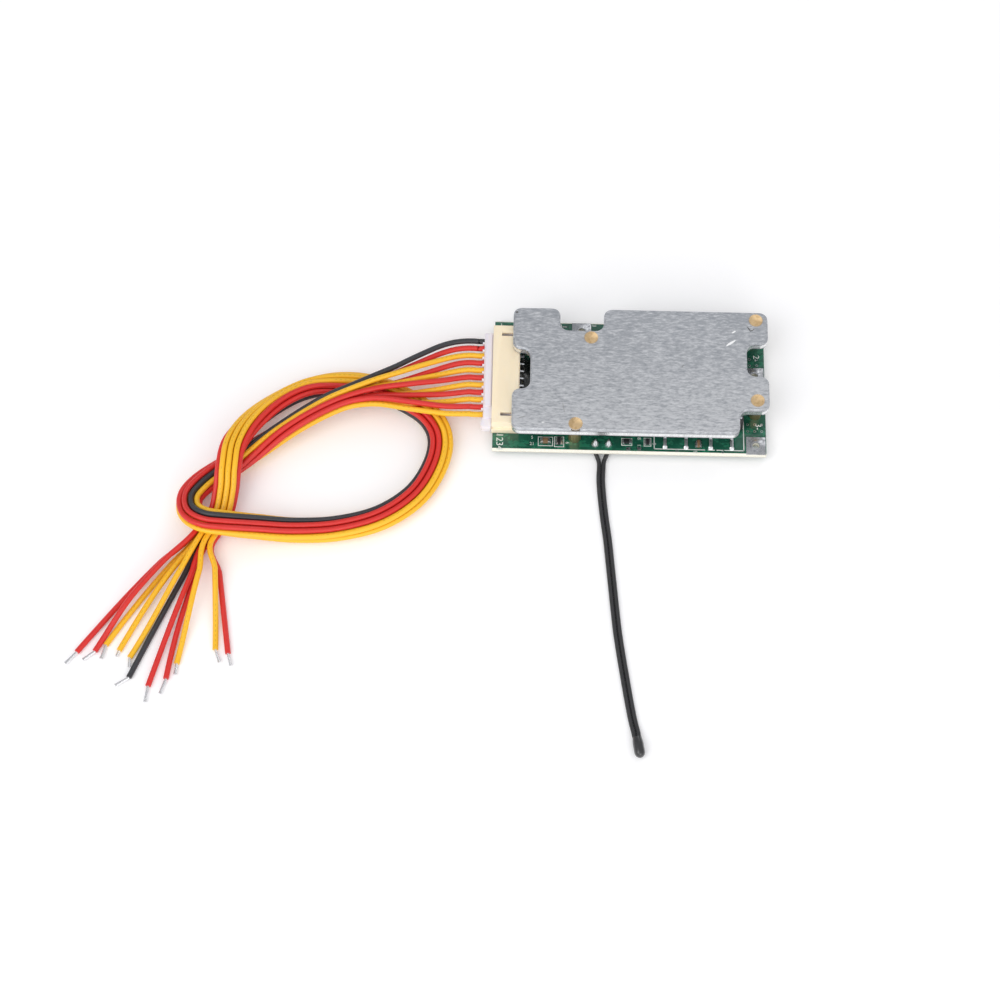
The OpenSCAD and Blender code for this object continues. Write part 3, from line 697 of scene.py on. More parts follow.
@dataclass(frozen=True)
class RolledAluminium(Finish):
    """Bare rolled sheet with a sheared edge, small knocks and hairlines.

    Attributes:
        back: The sheet's tone at its back, darkened there as painted shade.
        front: Its tone at its front, lightened there as a painted reflection.
        edge: The colour of its sheared edges: the sheared metal's own pale tone, raised further as a painted highlight.
        burnish_and_highlight: The colour of the round along its top edge: rubbed metal, lightened as a painted
            highlight.
        levels: Heights of the sheet's underside and top, in millimetres.
        marks: The knocks and chips on its top.
    """

    back: Colour = (0.405, 0.42, 0.45)
    front: Colour = (0.60, 0.61, 0.63)
    # edge and burnished are partly the metal's own pale tone and partly a painted highlight.
    edge: Colour = (0.93, 0.94, 0.95)
    burnish_and_highlight: Colour = (0.96, 0.965, 0.97)
    levels: Flat = (8.2, 10.7)
    marks: tuple[Wear, ...] = (
        Wear((24.2, 8.7), (1.5, 0.30), 35, 0.98), Wear((25.0, 11.8), (0.6, 0.2), 30, 0.98),
        Wear((28.7, 12.7), (0.75, 0.16), -58, 0.12), Wear((29.5, 12.4), (0.7, 0.14), 30, 0.15),
        Wear((-16.1, -9.8), (1.5, 0.07), -80, 0.32), Wear((-27.7, 16.0), (0.35, 0.28), 20, 0.14),
        Wear((-26.0, -12.6), (0.9, 0.1), 15, 0.30), Wear((4.0, -12.4), (0.9, 0.06), -20, 0.7),
        Wear((12.5, 2.1), (0.5, 0.1), 60, 0.3), Wear((-21.0, -13.9), (0.4, 0.16), 10, 0.85))

    def draw(self, shader: Shader) -> None:
        """Lay out the sheet's tone, grain, marks and sheared edge, with painted light on the top and the edges."""
        graph = shader.graph
        place = graph.place()
        _, y, z = graph.split(place)
        grain = shader.group(Effects.grain(), Vector=place)
        # Painted light: the top is blended from a shaded back to a lighter, reflecting front.
        tone = graph.mix(graph.near(y, 0.017, -0.017), self.back, self.front)
        tone = graph.mix(graph.math("MULTIPLY", graph.near(grain.outputs["Cloud"], 0.40, 0.72), 0.35),
                         tone, (0.62, 0.63, 0.66))
        tone = graph.mix(graph.math("MULTIPLY", graph.near(grain.outputs["Streak"], 0.50, 0.68), 0.75),
                         tone, (0.76, 0.77, 0.79))
        tone = graph.mix(graph.math("MULTIPLY", graph.near(grain.outputs["Streak"], 0.50, 0.34), 0.75),
                         tone, (0.30, 0.32, 0.35))
        hair = shader.group(Effects.scratches(), Vector=place, Amount=0.45)
        tone = graph.mix(hair.outputs["Mask"], tone, (0.78, 0.80, 0.82))
        dents: object = 0.0
        for mark in self.marks:
            mask = self.ellipse(graph, place, mark)
            tone = graph.mix(mask, tone, (mark.tone,) * 3)
            dents = graph.math("MAXIMUM", dents, mask)
        normal = graph.split(graph.node("ShaderNodeNewGeometry").outputs["Normal"])[2]
        side = graph.near(graph.math("ABSOLUTE", normal), 0.30, 0.12)
        rolled = graph.near(graph.math("ABSOLUTE", normal), 0.985, 0.90)
        low, high = (level * MM for level in self.levels)
        shear = graph.noise(graph.stretched(place, (2400, 2400, 160)), 1, 3, 0.6)
        edge = graph.mix(graph.near(shear, 0.40, 0.75), self.edge, (0.70, 0.71, 0.73))
        # Painted shade: a dark line in the crease under the rolled round, and a dark strip along the foot of the
        # sheared sides.
        line = graph.math("ABSOLUTE", graph.math("SUBTRACT", z, high - 0.72 * MM))
        edge = graph.mix(graph.near(line, 0.16 * MM, 0.04 * MM), edge, (0.20, 0.21, 0.24))
        edge = graph.mix(graph.near(z, low + 0.5 * MM, low + 0.1 * MM), edge, (0.30, 0.31, 0.34))
        # Painted highlight: the rolled round and the sheared sides are lightened beyond the sheet's tone.
        shader.set("Base Color", graph.mix(rolled, tone, graph.mix(side, self.burnish_and_highlight, edge)))
        rough = graph.blend(graph.near(grain.outputs["Streak"], 0.3, 0.7), 0.38, 0.56)
        rough = graph.blend(hair.outputs["Mask"], rough, 0.25)
        shader.set("Roughness", graph.blend(rolled, rough, 0.26))
        shader.set("Metallic", graph.blend(dents, 0.86, 0.45))
        height = graph.math("SUBTRACT", grain.outputs["Height"], graph.math("MULTIPLY", dents, 1.2))
        shader.bump(graph.math("ADD", height, graph.math("MULTIPLY", graph.math("MULTIPLY", shear, side), 1.5)), 0.02, 0.55)

    @staticmethod
    def ellipse(graph: Graph, place: bpy.types.NodeSocket, mark: Wear) -> bpy.types.NodeSocket:
        """Mask one mark, with a slightly ragged rim.

        Args:
            graph: The material's graph.
            place: The coordinates' socket.
            mark: The mark.

        Returns:
            The mask's socket.
        """
        moved = graph.node("ShaderNodeMapping", {
            "Vector": place, "Location": (mark.at[0] * MM, mark.at[1] * MM, 0),
            "Rotation": (0, 0, math.radians(mark.turn)),
            "Scale": (mark.size[0] * MM, mark.size[1] * MM, 1)}, vector_type="TEXTURE").outputs[0]
        flat = graph.node("ShaderNodeVectorMath", {0: moved, 1: (1, 1, 0)}, operation="MULTIPLY").outputs[0]
        length = graph.node("ShaderNodeVectorMath", {0: flat}, operation="LENGTH").outputs["Value"]
        ragged = graph.math("ADD", length, graph.math("MULTIPLY", graph.noise(place, 2600, 2), 0.5))
        return graph.near(ragged, 1.3, 1.1)


@dataclass(frozen=True)
class TurnedMetal(Finish):
    """Machined metal with turning marks round a centre.

    Attributes:
        colour: The metal's colour.
        tarnish_and_rim_shade: The colour of its cloudy oxide, also painted as shade round the toothed rim of the head.
        centre: The centre of the turning marks, in millimetres.
        rough: The roughness between the marks.
    """

    colour: Colour = (0.80, 0.575, 0.32)
    tarnish_and_rim_shade: Colour = (0.50, 0.32, 0.15)
    centre: Flat = (0, 0)
    rough: float = 0.30

    def draw(self, shader: Shader) -> None:
        """Lay out the rings, the cloudy oxide and the painted rim shade."""
        graph = shader.graph
        place = graph.place()
        moved = graph.node("ShaderNodeVectorMath", {0: place, 1: (self.centre[0] * MM, self.centre[1] * MM, 0)},
                           operation="SUBTRACT").outputs[0]
        flat = graph.node("ShaderNodeVectorMath", {0: moved, 1: (1, 1, 0)}, operation="MULTIPLY").outputs[0]
        reach = graph.node("ShaderNodeVectorMath", {0: flat}, operation="LENGTH").outputs["Value"]
        rings = graph.math("SINE", graph.math("MULTIPLY", reach, 2 * math.pi / (0.16 * MM)))
        cloud = graph.noise(place, 900, 3, 0.6)
        tone = graph.mix(graph.near(cloud, 0.45, 0.8), self.colour, self.tarnish_and_rim_shade)
        # Painted shade: beyond 1.55 mm from the centre the metal darkens, standing in for the dark gap round a stud's
        # toothed head.
        tone = graph.mix(graph.near(reach, 1.55 * MM, 1.8 * MM), tone, self.tarnish_and_rim_shade)
        shader.set("Base Color", tone)
        shader.set("Metallic", graph.blend(graph.near(cloud, 0.6, 0.9), 0.92, 0.8))
        shader.set("Roughness", graph.blend(cloud, self.rough - 0.08, self.rough + 0.16))
        shader.bump(graph.math("ADD", graph.math("MULTIPLY", rings, 0.5), cloud), 0.012, 0.5)


@dataclass(frozen=True)
class CoatedBoard(Finish):
    """Green lacquer over copper tracks, with scored and broken edges of bare laminate.

    Attributes:
        lacquer: The lacquer's colour over copper.
        deep: Its colour between the tracks.
        laminate: The bare laminate's colour.
        levels: Heights of the board's underside and top, in millimetres.
    """

    lacquer: Colour = (0.018, 0.165, 0.092)
    deep: Colour = (0.008, 0.088, 0.052)
    laminate: Colour = (0.84, 0.80, 0.66)
    levels: Flat = (1.6, 3.2)

    def draw(self, shader: Shader) -> None:
        """Lay out the tracks, the lacquer's gloss and the edges, with painted shade round the header pins and along the
        edges' foot.
        """
        graph = shader.graph
        place = graph.place()
        cells = graph.node("ShaderNodeTexVoronoi", {"Vector": graph.stretched(place, (330, 480, 0)), "Scale": 1.0,
                                                    "Randomness": 0.72}, feature="F1", distance="CHEBYCHEV")
        tracks = graph.near(cells.outputs["Distance"], 0.44, 0.40)
        fine = graph.node("ShaderNodeTexVoronoi", {"Vector": graph.stretched(place, (900, 1500, 0)), "Scale": 1.0,
                                                   "Randomness": 0.9}, feature="F1", distance="MANHATTAN")
        tracks = graph.math("MULTIPLY", tracks, graph.near(fine.outputs["Distance"], 0.85, 0.78))
        cloud = graph.noise(place, 420, 3, 0.6)
        tone = graph.mix(tracks, self.deep, self.lacquer)
        tone = graph.mix(graph.math("MULTIPLY", graph.near(cloud, 0.45, 0.75), 0.35), tone, (0.03, 0.21, 0.13))
        # Painted shade: the lacquer turns near black within about 7 mm of the header pins, where the plate shades the
        # board.
        pin_notch_shade = graph.node("ShaderNodeVectorMath", {0: place, 1: (-0.0245, 0.0007, 0.0032)}, operation="DISTANCE").outputs["Value"]
        tone = graph.mix(graph.near(pin_notch_shade, 7.5 * MM, 6.0 * MM), tone, (0.006, 0.009, 0.008))
        normal = graph.split(graph.node("ShaderNodeNewGeometry").outputs["Normal"])
        side = graph.near(graph.math("ABSOLUTE", normal[2]), 0.96, 0.90)
        fibre = graph.noise(graph.stretched(place, (3800, 900, 5200)), 1, 4, 0.7)
        bare = graph.mix(graph.near(fibre, 0.35, 0.68), self.laminate, (0.95, 0.94, 0.88))
        height_at = graph.split(place)[2]
        rip = graph.math("ADD", height_at, graph.math("MULTIPLY", graph.noise(graph.stretched(place, (1300, 1300, 0)), 1, 4, 0.7), 0.9 * MM))
        rip = graph.math("ABSOLUTE", graph.math("SUBTRACT", rip, self.levels[0] * MM + 1.12 * MM))
        bare = graph.mix(graph.math("MULTIPLY", graph.near(rip, 0.16 * MM, 0.05 * MM), 0.75), bare, (0.36, 0.34, 0.28))
        # Painted shade: the bare edge darkens towards the board's underside, where the lower score lies in shadow.
        bare = graph.mix(graph.near(height_at, (self.levels[0] + 0.35) * MM, (self.levels[0] + 0.1) * MM), bare, (0.30, 0.30, 0.24))
        shader.set("Base Color", graph.mix(side, tone, bare))
        shader.set("Roughness", graph.blend(side, graph.blend(cloud, 0.16, 0.30), 0.75))
        shader.set("Coat Weight", graph.blend(side, 0.7, 0.0))
        height = graph.math("ADD", graph.math("MULTIPLY", tracks, 0.8), graph.math("MULTIPLY", cloud, 0.35))
        height = graph.blend(side, height, graph.math("MULTIPLY", fibre, 7.0))
        shader.bump(height, 0.03, 0.8)


@dataclass(frozen=True)
class Moulded(Finish):
    """Moulded plastic or epoxy.

    Attributes:
        colour: The plastic's colour.
        shade: Its colour in the flow marks.
        rough: Its roughness.
        depth: How deep its texture is, in millimetres.
        dust: How much pale dust lies on it.
        coat: How strong its clear gloss is.
        glow: How far light goes into it, as a share.
    """

    colour: Colour = (0.02, 0.02, 0.022)
    shade: Colour = (0.035, 0.035, 0.038)
    rough: float = 0.5
    depth: float = 0.02
    dust: float = 0.1
    coat: float = 0.0
    glow: float = 0.0

    def skin(self, shader: Shader) -> tuple[bpy.types.NodeSocket, bpy.types.NodeSocket]:
        """Lay out the plastic.

        Args:
            shader: The material.

        Returns:
            Its colour and its roughness.
        """
        graph = shader.graph
        skin = shader.group(Effects.moulding(), Vector=graph.place())
        tone = graph.mix(graph.near(skin.outputs["Flow"], 0.38, 0.66), self.colour, self.shade)
        dust = graph.math("MULTIPLY", skin.outputs["Dust"], self.dust)
        tone = graph.mix(dust, tone, (0.75, 0.73, 0.70))
        rough = graph.blend(skin.outputs["Height"], self.rough - 0.08, self.rough + 0.10)
        shader.bump(skin.outputs["Height"], self.depth, 0.6)
        return tone, graph.math("ADD", rough, graph.math("MULTIPLY", dust, 0.3))

    def draw(self, shader: Shader) -> None:
        """Lay out the plastic alone."""
        tone, rough = self.skin(shader)
        shader.set("Base Color", tone)
        shader.set("Roughness", rough)
        if self.coat:
            shader.set("Coat Weight", shader.graph.math("MULTIPLY", self.coat, shader.graph.near(
                shader.graph.noise(shader.graph.place(), 700), 0.1, 0.5)))
            shader.bsdf.inputs["Coat Roughness"].default_value = 0.08
        if self.glow:
            shader.bsdf.inputs["Subsurface Weight"].default_value = self.glow
            shader.bsdf.inputs["Subsurface Radius"].default_value = (0.8, 0.7, 0.5)
            shader.bsdf.inputs["Subsurface Scale"].default_value = 0.9 * MM


@dataclass(frozen=True)
class Tinned(Finish):
    """Solder or tin plate, bright where it flowed and dull where it froze.

    Attributes:
        colour: The bright metal's colour.
        dull: Its colour where it is grainy.
        rough: The roughness of the bright part.
        lumps: How deep its lumps are, in millimetres.
        scale: Lumps in a metre.
    """

    colour: Colour = (0.80, 0.81, 0.83)
    dull: Colour = (0.52, 0.53, 0.55)
    rough: float = 0.18
    lumps: float = 0.05
    scale: float = 900

    def draw(self, shader: Shader) -> None:
        """Lay out the lumps and the dull grains."""
        graph = shader.graph
        place = graph.place()
        lump = graph.noise(place, self.scale, 2, 0.5)
        grainy = graph.near(graph.noise(place, self.scale * 3.3, 3, 0.6), 0.42, 0.68)
        shader.set("Base Color", graph.mix(grainy, self.colour, self.dull))
        shader.set("Roughness", graph.blend(grainy, self.rough, self.rough + 0.22))
        shader.set("Metallic", graph.blend(grainy, 1.0, 0.9))
        shader.bump(graph.math("ADD", lump, graph.math("MULTIPLY", grainy, 0.15)), self.lumps, 0.7)


@dataclass(frozen=True)
class WireCover(Finish):
    """Wire insulation with fine drawn lines and a worn row of plain dashes along it.

    Attributes:
        colour: The plastic's colour.
        shade: The colour of its slight streaks.
        ink: The colour of the dashes.
        printed: How strong the dashes are.
        rough: The roughness.
    """

    colour: Colour = (0.7, 0.03, 0.02)
    shade: Colour = (0.5, 0.02, 0.015)
    ink: Colour = (0.2, 0.02, 0.02)
    printed: float = 0.3
    rough: float = 0.34

    def draw(self, shader: Shader) -> None:
        """Lay out the streaks and the dashes, which follow the wire's own length and turn."""
        graph = shader.graph
        along = graph.node("ShaderNodeAttribute", attribute_name="along").outputs["Fac"]
        turn = graph.node("ShaderNodeAttribute", attribute_name="turn").outputs["Fac"]
        place = graph.place()
        run = graph.node("ShaderNodeCombineXYZ", {0: along, 1: turn, 2: 0.0}).outputs[0]
        streak = graph.noise(graph.stretched(run, (130, 9, 1)), 1, 3, 0.55)
        speck = graph.noise(place, 5200, 2, 0.5)
        tone = graph.mix(graph.near(streak, 0.35, 0.75), self.colour, self.shade)
        cell = graph.math("FRACT", graph.math("DIVIDE", along, 1.25 * MM))
        dash = graph.math("MULTIPLY", graph.near(cell, 0.30, 0.36), graph.near(cell, 0.86, 0.80))
        word = graph.math("FRACT", graph.math("DIVIDE", along, 17 * MM))
        dash = graph.math("MULTIPLY", dash, graph.math("MULTIPLY", graph.near(word, 0.12, 0.14), graph.near(word, 0.84, 0.82)))
        band = graph.near(graph.math("ABSOLUTE", graph.math("SUBTRACT", turn, 0.06)), 0.075, 0.055)
        worn = graph.near(graph.noise(place, 2300, 2, 0.5), 0.34, 0.52)
        ink = graph.math("MULTIPLY", graph.math("MULTIPLY", dash, band), graph.math("MULTIPLY", worn, self.printed))
        tone = graph.mix(ink, tone, self.ink)
        shader.set("Base Color", tone)
        shader.set("Roughness", graph.blend(speck, self.rough - 0.06, self.rough + 0.12))
        shader.bump(graph.math("ADD", graph.math("MULTIPLY", speck, 0.3), streak), 0.012, 0.6)


@dataclass(frozen=True)
class StudioFloor(Finish):
    """Plain white paper under the part, with the faintest tooth."""

    colour: Colour = (0.94, 0.935, 0.945)

    def draw(self, shader: Shader) -> None:
        """Lay out the paper."""
        graph = shader.graph
        tooth = graph.noise(graph.place(), 300, 3, 0.6)
        shader.set("Base Color", graph.mix(tooth, self.colour, (0.96, 0.955, 0.96)))
        shader.set("Roughness", graph.blend(tooth, 0.85, 0.95))
        shader.bsdf.inputs["Emission Color"].default_value = (1, 1, 1, 1)
        shader.bsdf.inputs["Emission Strength"].default_value = 0.10


class Finishes:
    """The finishes that the part's pieces take."""

    plate = RolledAluminium("plate_aluminium", "plate_aluminium")
    lacquer = CoatedBoard("board_lacquer", "solder_mask")
    ink = Moulded("board_ink", "solder_mask", colour=(0.86, 0.87, 0.84), shade=(0.70, 0.74, 0.70), rough=0.6, dust=0)
    steel = TurnedMetal("screw_steel", "screw_steel", colour=(0.62, 0.63, 0.65), tarnish_and_rim_shade=(0.34, 0.35, 0.37))
    silicone = Moulded("pad_silicone", "pad_silicone", colour=(0.62, 0.62, 0.66), shade=(0.54, 0.54, 0.58), rough=0.72, depth=0.04)
    epoxy = Moulded("moulded_epoxy", "moulded_black", rough=0.52, depth=0.025, dust=0.25)
    chip_black = Moulded("chip_black", "chip_black", colour=(0.018, 0.018, 0.02), rough=0.36, depth=0.01, coat=0.3)
    chip_brown = Moulded("chip_brown", "chip_brown", colour=(0.20, 0.115, 0.06), shade=(0.26, 0.16, 0.09), rough=0.42, depth=0.012)
    cream = Moulded("cream_nylon", "header_cream", colour=(0.98, 0.84, 0.63), shade=(0.95, 0.80, 0.58), rough=0.45,
                    depth=0.015, dust=0.0, coat=0.25, glow=0.25)
    white = Moulded("white_nylon", "plug_white", colour=(0.86, 0.82, 0.86), shade=(0.80, 0.75, 0.80), rough=0.42,
                    depth=0.012, dust=0.0, coat=0.25, glow=0.3)
    tin = Tinned("pin_tin", "pin_tin", colour=(0.66, 0.67, 0.69), dull=(0.38, 0.39, 0.41), rough=0.24, lumps=0.01, scale=1600)
    solder = Tinned("solder", "solder", rough=0.14, lumps=0.06, scale=1100)
    pad = Tinned("pad_solder", "solder", colour=(0.50, 0.51, 0.53), dull=(0.30, 0.31, 0.33), rough=0.26, lumps=0.035, scale=520)
    bead = Moulded("bead_epoxy", "bead_black", colour=(0.012, 0.012, 0.013), shade=(0.02, 0.02, 0.022), rough=0.22,
                   depth=0.05, dust=0.05, coat=0.8)
    lead = WireCover("lead_black", "lead_black", colour=(0.02, 0.02, 0.022), shade=(0.035, 0.035, 0.038), printed=0.0, rough=0.42)
    strands = Tinned("strand_tin", "strand_tin", colour=(0.88, 0.88, 0.89), dull=(0.60, 0.60, 0.62), rough=0.2, lumps=0.02, scale=2600)
    covers = {
        Insulation.BLACK: WireCover("wire_black", "wire_black", colour=(0.030, 0.031, 0.036), shade=(0.045, 0.046, 0.052),
                                    ink=(0.30, 0.30, 0.30), printed=0.15),
        Insulation.RED: WireCover("wire_red", "wire_red", colour=(0.74, 0.030, 0.024), shade=(0.60, 0.022, 0.018),
                                  ink=(0.16, 0.01, 0.01), printed=0.45),
        Insulation.YELLOW: WireCover("wire_yellow", "wire_yellow", colour=(0.96, 0.54, 0.022), shade=(0.88, 0.46, 0.016),
                                     ink=(0.25, 0.16, 0.02), printed=0.7),
    }
    paper = StudioFloor("studio_paper", "solder_mask")


# ---------------------------------------------------------------------------
# Cords
# ---------------------------------------------------------------------------


def ease(value: float) -> float:
    """Smooth step from 0 to 1."""
    value = min(max(value, 0.0), 1.0)
    return value * value * (3 - 2 * value)


def spline(rows: Sequence[Sequence[float]], place: float) -> Vector:
    """Read a Catmull-Rom spline through rows of numbers.

    Args:
        rows: The rows that the spline goes through.
        place: Where to read it, counted in rows.

    Returns:
        The numbers there.
    """
    last = len(rows) - 1
    place = min(max(place, 0.0), last)
    index = min(int(place), last - 1)
    part = place - index
    a, b, c, d = (Vector(rows[i]) for i in (max(index - 1, 0), index, index + 1, min(index + 2, last)))
    return 0.5 * (2 * b + (c - a) * part + (2 * a - 5 * b + 4 * c - d) * part ** 2
                  + (3 * b - a - 3 * c + d) * part ** 3)


def tube(name: str, points: Sequence[Vector], radius: float, finish: Finish) -> bpy.types.Object:
    """Make a wire along points, with its length and turn kept as attributes for the finish.

    Args:
        name: The wire's name.
        points: Its centreline, in metres.
        radius: Its radius, in millimetres.
        finish: Its finish.

    Returns:
        The wire, as a closed mesh.
    """
    curve = bpy.data.curves.new(name, "CURVE")
    curve.dimensions = "3D"
    curve.bevel_depth = radius * MM
    curve.bevel_resolution = 4
    curve.use_fill_caps = True
    curve.twist_mode = "Z_UP"
    run = curve.splines.new("POLY")
    run.points.add(len(points) - 1)
    for point, place in zip(run.points, points):
        point.co = (*place, 1)
    wire = bpy.data.objects.new(name, curve)
    bpy.context.scene.collection.objects.link(wire)
    Bench.only(wire)
    bpy.ops.object.convert(target="MESH")
    wire = bpy.context.object
    wire.data.name = name
    line = np.array(points)
    runs = np.concatenate([[0], np.cumsum(np.linalg.norm(np.diff(line, axis=0), axis=1))])
    spots = np.empty(len(wire.data.vertices) * 3, np.float32)
    wire.data.vertices.foreach_get("co", spots)
    spots = spots.reshape(-1, 3)
    nearest = np.array([int(np.argmin(((line - spot) ** 2).sum(1))) for spot in spots])
    way = np.gradient(line, axis=0)
    aside = np.stack([-way[:, 1], way[:, 0], np.zeros(len(way))], 1)
    aside /= np.linalg.norm(aside, axis=1)[:, None]
    offset = spots - line[nearest]
    turn = (offset * aside[nearest]).sum(1) / (radius * MM)
    for key, values in (("along", runs[nearest]), ("turn", turn)):
        attribute = wire.data.attributes.new(key, "FLOAT", "POINT")
        attribute.data.foreach_set("value", values.astype(np.float32))
    Bench.smooth(wire, 50)
    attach(wire, "root")
    return finish.dress(wire)


@dataclass(frozen=True)
class Wire:
    """One wire of the balance lead.

    Attributes:
        cover: The colour of its insulation.
        lane: Its lane in the bundle.
        end: Where its insulation ends, in millimetres.
        bow: How far its tail bows sideways.
        fall: The shares of the tail between which it comes down.
        length: Its length in the open, in metres.
        tip: Where its bare strands end, in millimetres.
        splay: How far the strands spread at the tip.
    """

    cover: Insulation
    lane: int
    end: Flat
    bow: float
    fall: Flat
    length: float
    tip: Flat
    splay: float


K, R, Y = Insulation.BLACK, Insulation.RED, Insulation.YELLOW


@dataclass
class BalanceLead:
    """The eleven wires from the plug, their loop, their loose tails and bare ends."""

    start: float = -34.1
    row_y: float = 0.4
    pitch: float = 2.0
    wire_d: float = 1.35
    lane: float = 1.5
    ring_lanes: int = 9
    fan: tuple[float, float, float] = (2, 4.5, 6)
    tail_rows: int = 4
    tail_turn: float = 0.3
    rings: int = 216
    rows: tuple[tuple[float, ...], ...] = (
        (-34.1, 0.4, 5.6, 0, -0.2), (-36.9, 0.4, 5.6, 0, -0.2), (-40, 0.4, 5.6, 0, -0.2), (-46.5, -1.3, 6.2, 0, -0.2),
        (-54, -3, 6.7, 0, -0.2), (-62, -4.5, 6.8, 0, -0.2), (-70, -7, 6.4, 10, 0.1), (-77, -10.5, 5.2, 30, 0.5),
        (-84, -15, 4, 40, 0.9), (-91, -20, 2.95, 25, 1.3), (-97, -24.2, 2.4, 5, 1.6), (-102, -28.3, 2.5, 0, 1.8),
        (-104.5, -32.5, 3.6, 0, 2), (-103.8, -36.8, 5.2, 0, 2.2), (-100.3, -39.6, 6.7, 0, 2.4), (-95, -40.3, 6.5, 0, 2.6),
        (-88, -40, 4.4, 0, 2.8), (-79, -39.8, 2.6, 0, 3), (-69, -39, 2.3, 0, 3.2), (-59, -36, 2.3, 0, 3.4),
        (-51, -30, 2.3, 0, 3.6), (-46.5, -22, 2.3, 0, 3.8), (-45.5, -14.5, 2.3, 0, 4), (-48.5, -8.5, 2.3, 0, 4.2),
        (-55, -4, 2.3, 0, 4.4), (-62, -1.2, 2.3, 0, 4.6), (-70, -0.4, 2.3, 10, 4.8), (-78, -2.3, 3.3, 35, 5),
        (-85, -6.5, 3.9, 40, 5.2), (-91, -12.8, 5.4, 25, 5.4), (-94.5, -19.5, 7, 5, 5.6), (-95.5, -26, 7, 0, 5.8),
        (-96, -31, 4.8, 0, 6), (-97.3, -36, 2.3, 0, 6.2), (-100, -41, 2.3, 0, 6.3))
    wires: tuple[Wire, ...] = (
        Wire(K, 8, (-115.6, -77.3), -0.02, (0.35, 0.9), 0.279, (-118.6, -79.4), 0.5),
        Wire(R, 7, (-107, -77.4), -0.12, (0.35, 1), 0.280, (-108.1, -81.1), 0.2),
        Wire(Y, 0, (-121.6, -69.4), -0.08, (0, 0.6), 0.273, (-122.4, -72.8), 0.9),
        Wire(R, 6, (-93.1, -70.8), 0, (0, 0.6), 0.280, (-92.2, -73.8), 0.4),
        Wire(Y, 9, (-118.4, -70.7), -0.1, (0.35, 1), 0.287, (-118.9, -72.2), 0.3),
        Wire(R, 1, (-128.2, -71.3), -0.08, (0.15, 0.9), 0.281, (-130.6, -74.2), 0.8),
        Wire(Y, 5, (-96.1, -69.9), 0.02, (0.25, 0.95), 0.284, (-94.9, -73.0), 0.6),
        Wire(R, 10, (-111, -79.3), -0.04, (0.35, 1), 0.280, (-111.4, -83.2), 0.3),
        Wire(Y, 4, (-104.8, -73.6), 0, (0.35, 1), 0.290, (-105.0, -76.3), 0.7),
        Wire(R, 2, (-124, -71), -0.14, (0.55, 1), 0.285, (-126.6, -73.2), 0.6),
        Wire(Y, 3, (-115.8, -72.4), 0.02, (0.25, 0.95), 0.291, (-115.7, -74.7), 0.4))

    @property
    def last(self) -> int:
        """The number of the route's last row."""
        return len(self.rows) - 1

    def middle(self, place: float) -> Vector:
        """The bundle's middle, in millimetres."""
        return Vector(spline(self.rows, place)[:3])

    def heading(self, place: float) -> Vector:
        """The bundle's direction."""
        return (self.middle(place + 0.05) - self.middle(place - 0.05)).normalized()

    def slot_at(self, lane: int, shift: float) -> Flat:
        """Where a lane lies across the bundle.

        Args:
            lane: The lane's number: the last two lie inside the ring of the others.
            shift: How many lanes the ring has turned.

        Returns:
            The place across and up, in millimetres.
        """
        if lane >= self.ring_lanes:
            return (lane - self.ring_lanes - 0.5) * self.lane, 0.0
        flat = (self.ring_lanes - 2 * math.pi) * self.lane / 2
        bend = math.pi * self.lane
        run = ((lane + shift) * self.lane) % (2 * (flat + bend))
        if run < flat:
            return run - flat / 2, self.lane
        if run < flat + bend:
            angle = (run - flat) / self.lane
            return flat / 2 + self.lane * math.sin(angle), self.lane * math.cos(angle)
        if run < 2 * flat + bend:
            return flat / 2 - (run - flat - bend), -self.lane
        angle = (run - 2 * flat - bend) / self.lane
        return -flat / 2 - self.lane * math.sin(angle), -self.lane * math.cos(angle)

    def in_bundle(self, number: int, place: float) -> Vector:
        """A wire's middle while it is in the bundle, in millimetres."""
        row = spline(self.rows, place)
        way = self.heading(place)
        side = Vector((-way.y, way.x, 0)).normalized()
        up = way.cross(side)
        across, high = self.slot_at(self.wires[number].lane, row[4])
        roll = math.radians(row[3])
        across, high = (across * math.cos(roll) - high * math.sin(roll),
                        across * math.sin(roll) + high * math.cos(roll))
        begin, lifted, closed = self.fan
        close = ease((place - begin) / (closed - begin))
        lift = ease((place - begin) / (lifted - begin))
        pin = self.row_y + (6 - (number + 1)) * self.pitch
        return (self.middle(place) + side * ((self.row_y - pin) * (1 - close) + across * close)
                + up * high * lift)

    def in_tail(self, number: int, share: float) -> Vector:
        """A wire's middle along its loose tail, in millimetres."""
        wire = self.wires[number]
        leave = self.in_bundle(number, self.last)
        way = self.heading(self.last)
        low = self.wire_d / 2
        aim = Vector((*wire.end, low)) - leave
        reach = math.hypot(aim.x, aim.y)
        turn = ease(share / self.tail_turn)
        fall = ease((share - wire.fall[0]) / (wire.fall[1] - wire.fall[0]))
        spot = (leave + way * reach * share * (1 - turn) + aim * share * turn
                + Vector((-aim.y, aim.x, 0)) * wire.bow * share * (1 - share))
        spot.z = low + (leave.z - low) * (1 - fall)
        return spot

    def path(self, number: int) -> list[Vector]:
        """A wire's centreline, in metres."""
        places = [(self.last + self.tail_rows) * step / self.rings for step in range(self.rings + 1)]
        return [(self.in_bundle(number, place) if place <= self.last
                 else self.in_tail(number, (place - self.last) / self.tail_rows)) * MM for place in places]

    def build(self, plug: Sequence[bpy.types.Object]) -> None:
        """Make every wire with its bare end.

        Args:
            plug: The pieces of the plug that the wires come out of; not used.
        """
        pattern = StrandEnd()
        for number, wire in enumerate(self.wires):
            points = self.path(number)
            node = f"wire_{number + 1:02d}_{wire.cover.value}"
            piece = tube(node + "_insulated", points, self.wire_d / 2, Finishes.covers[wire.cover])
            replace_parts(piece, node)
            strands = pattern.place(f"strands_{number + 1:02d}", points[-1], wire)
            log.info("%s: %.0f mm in the open", piece.name, wire.length * 1000)


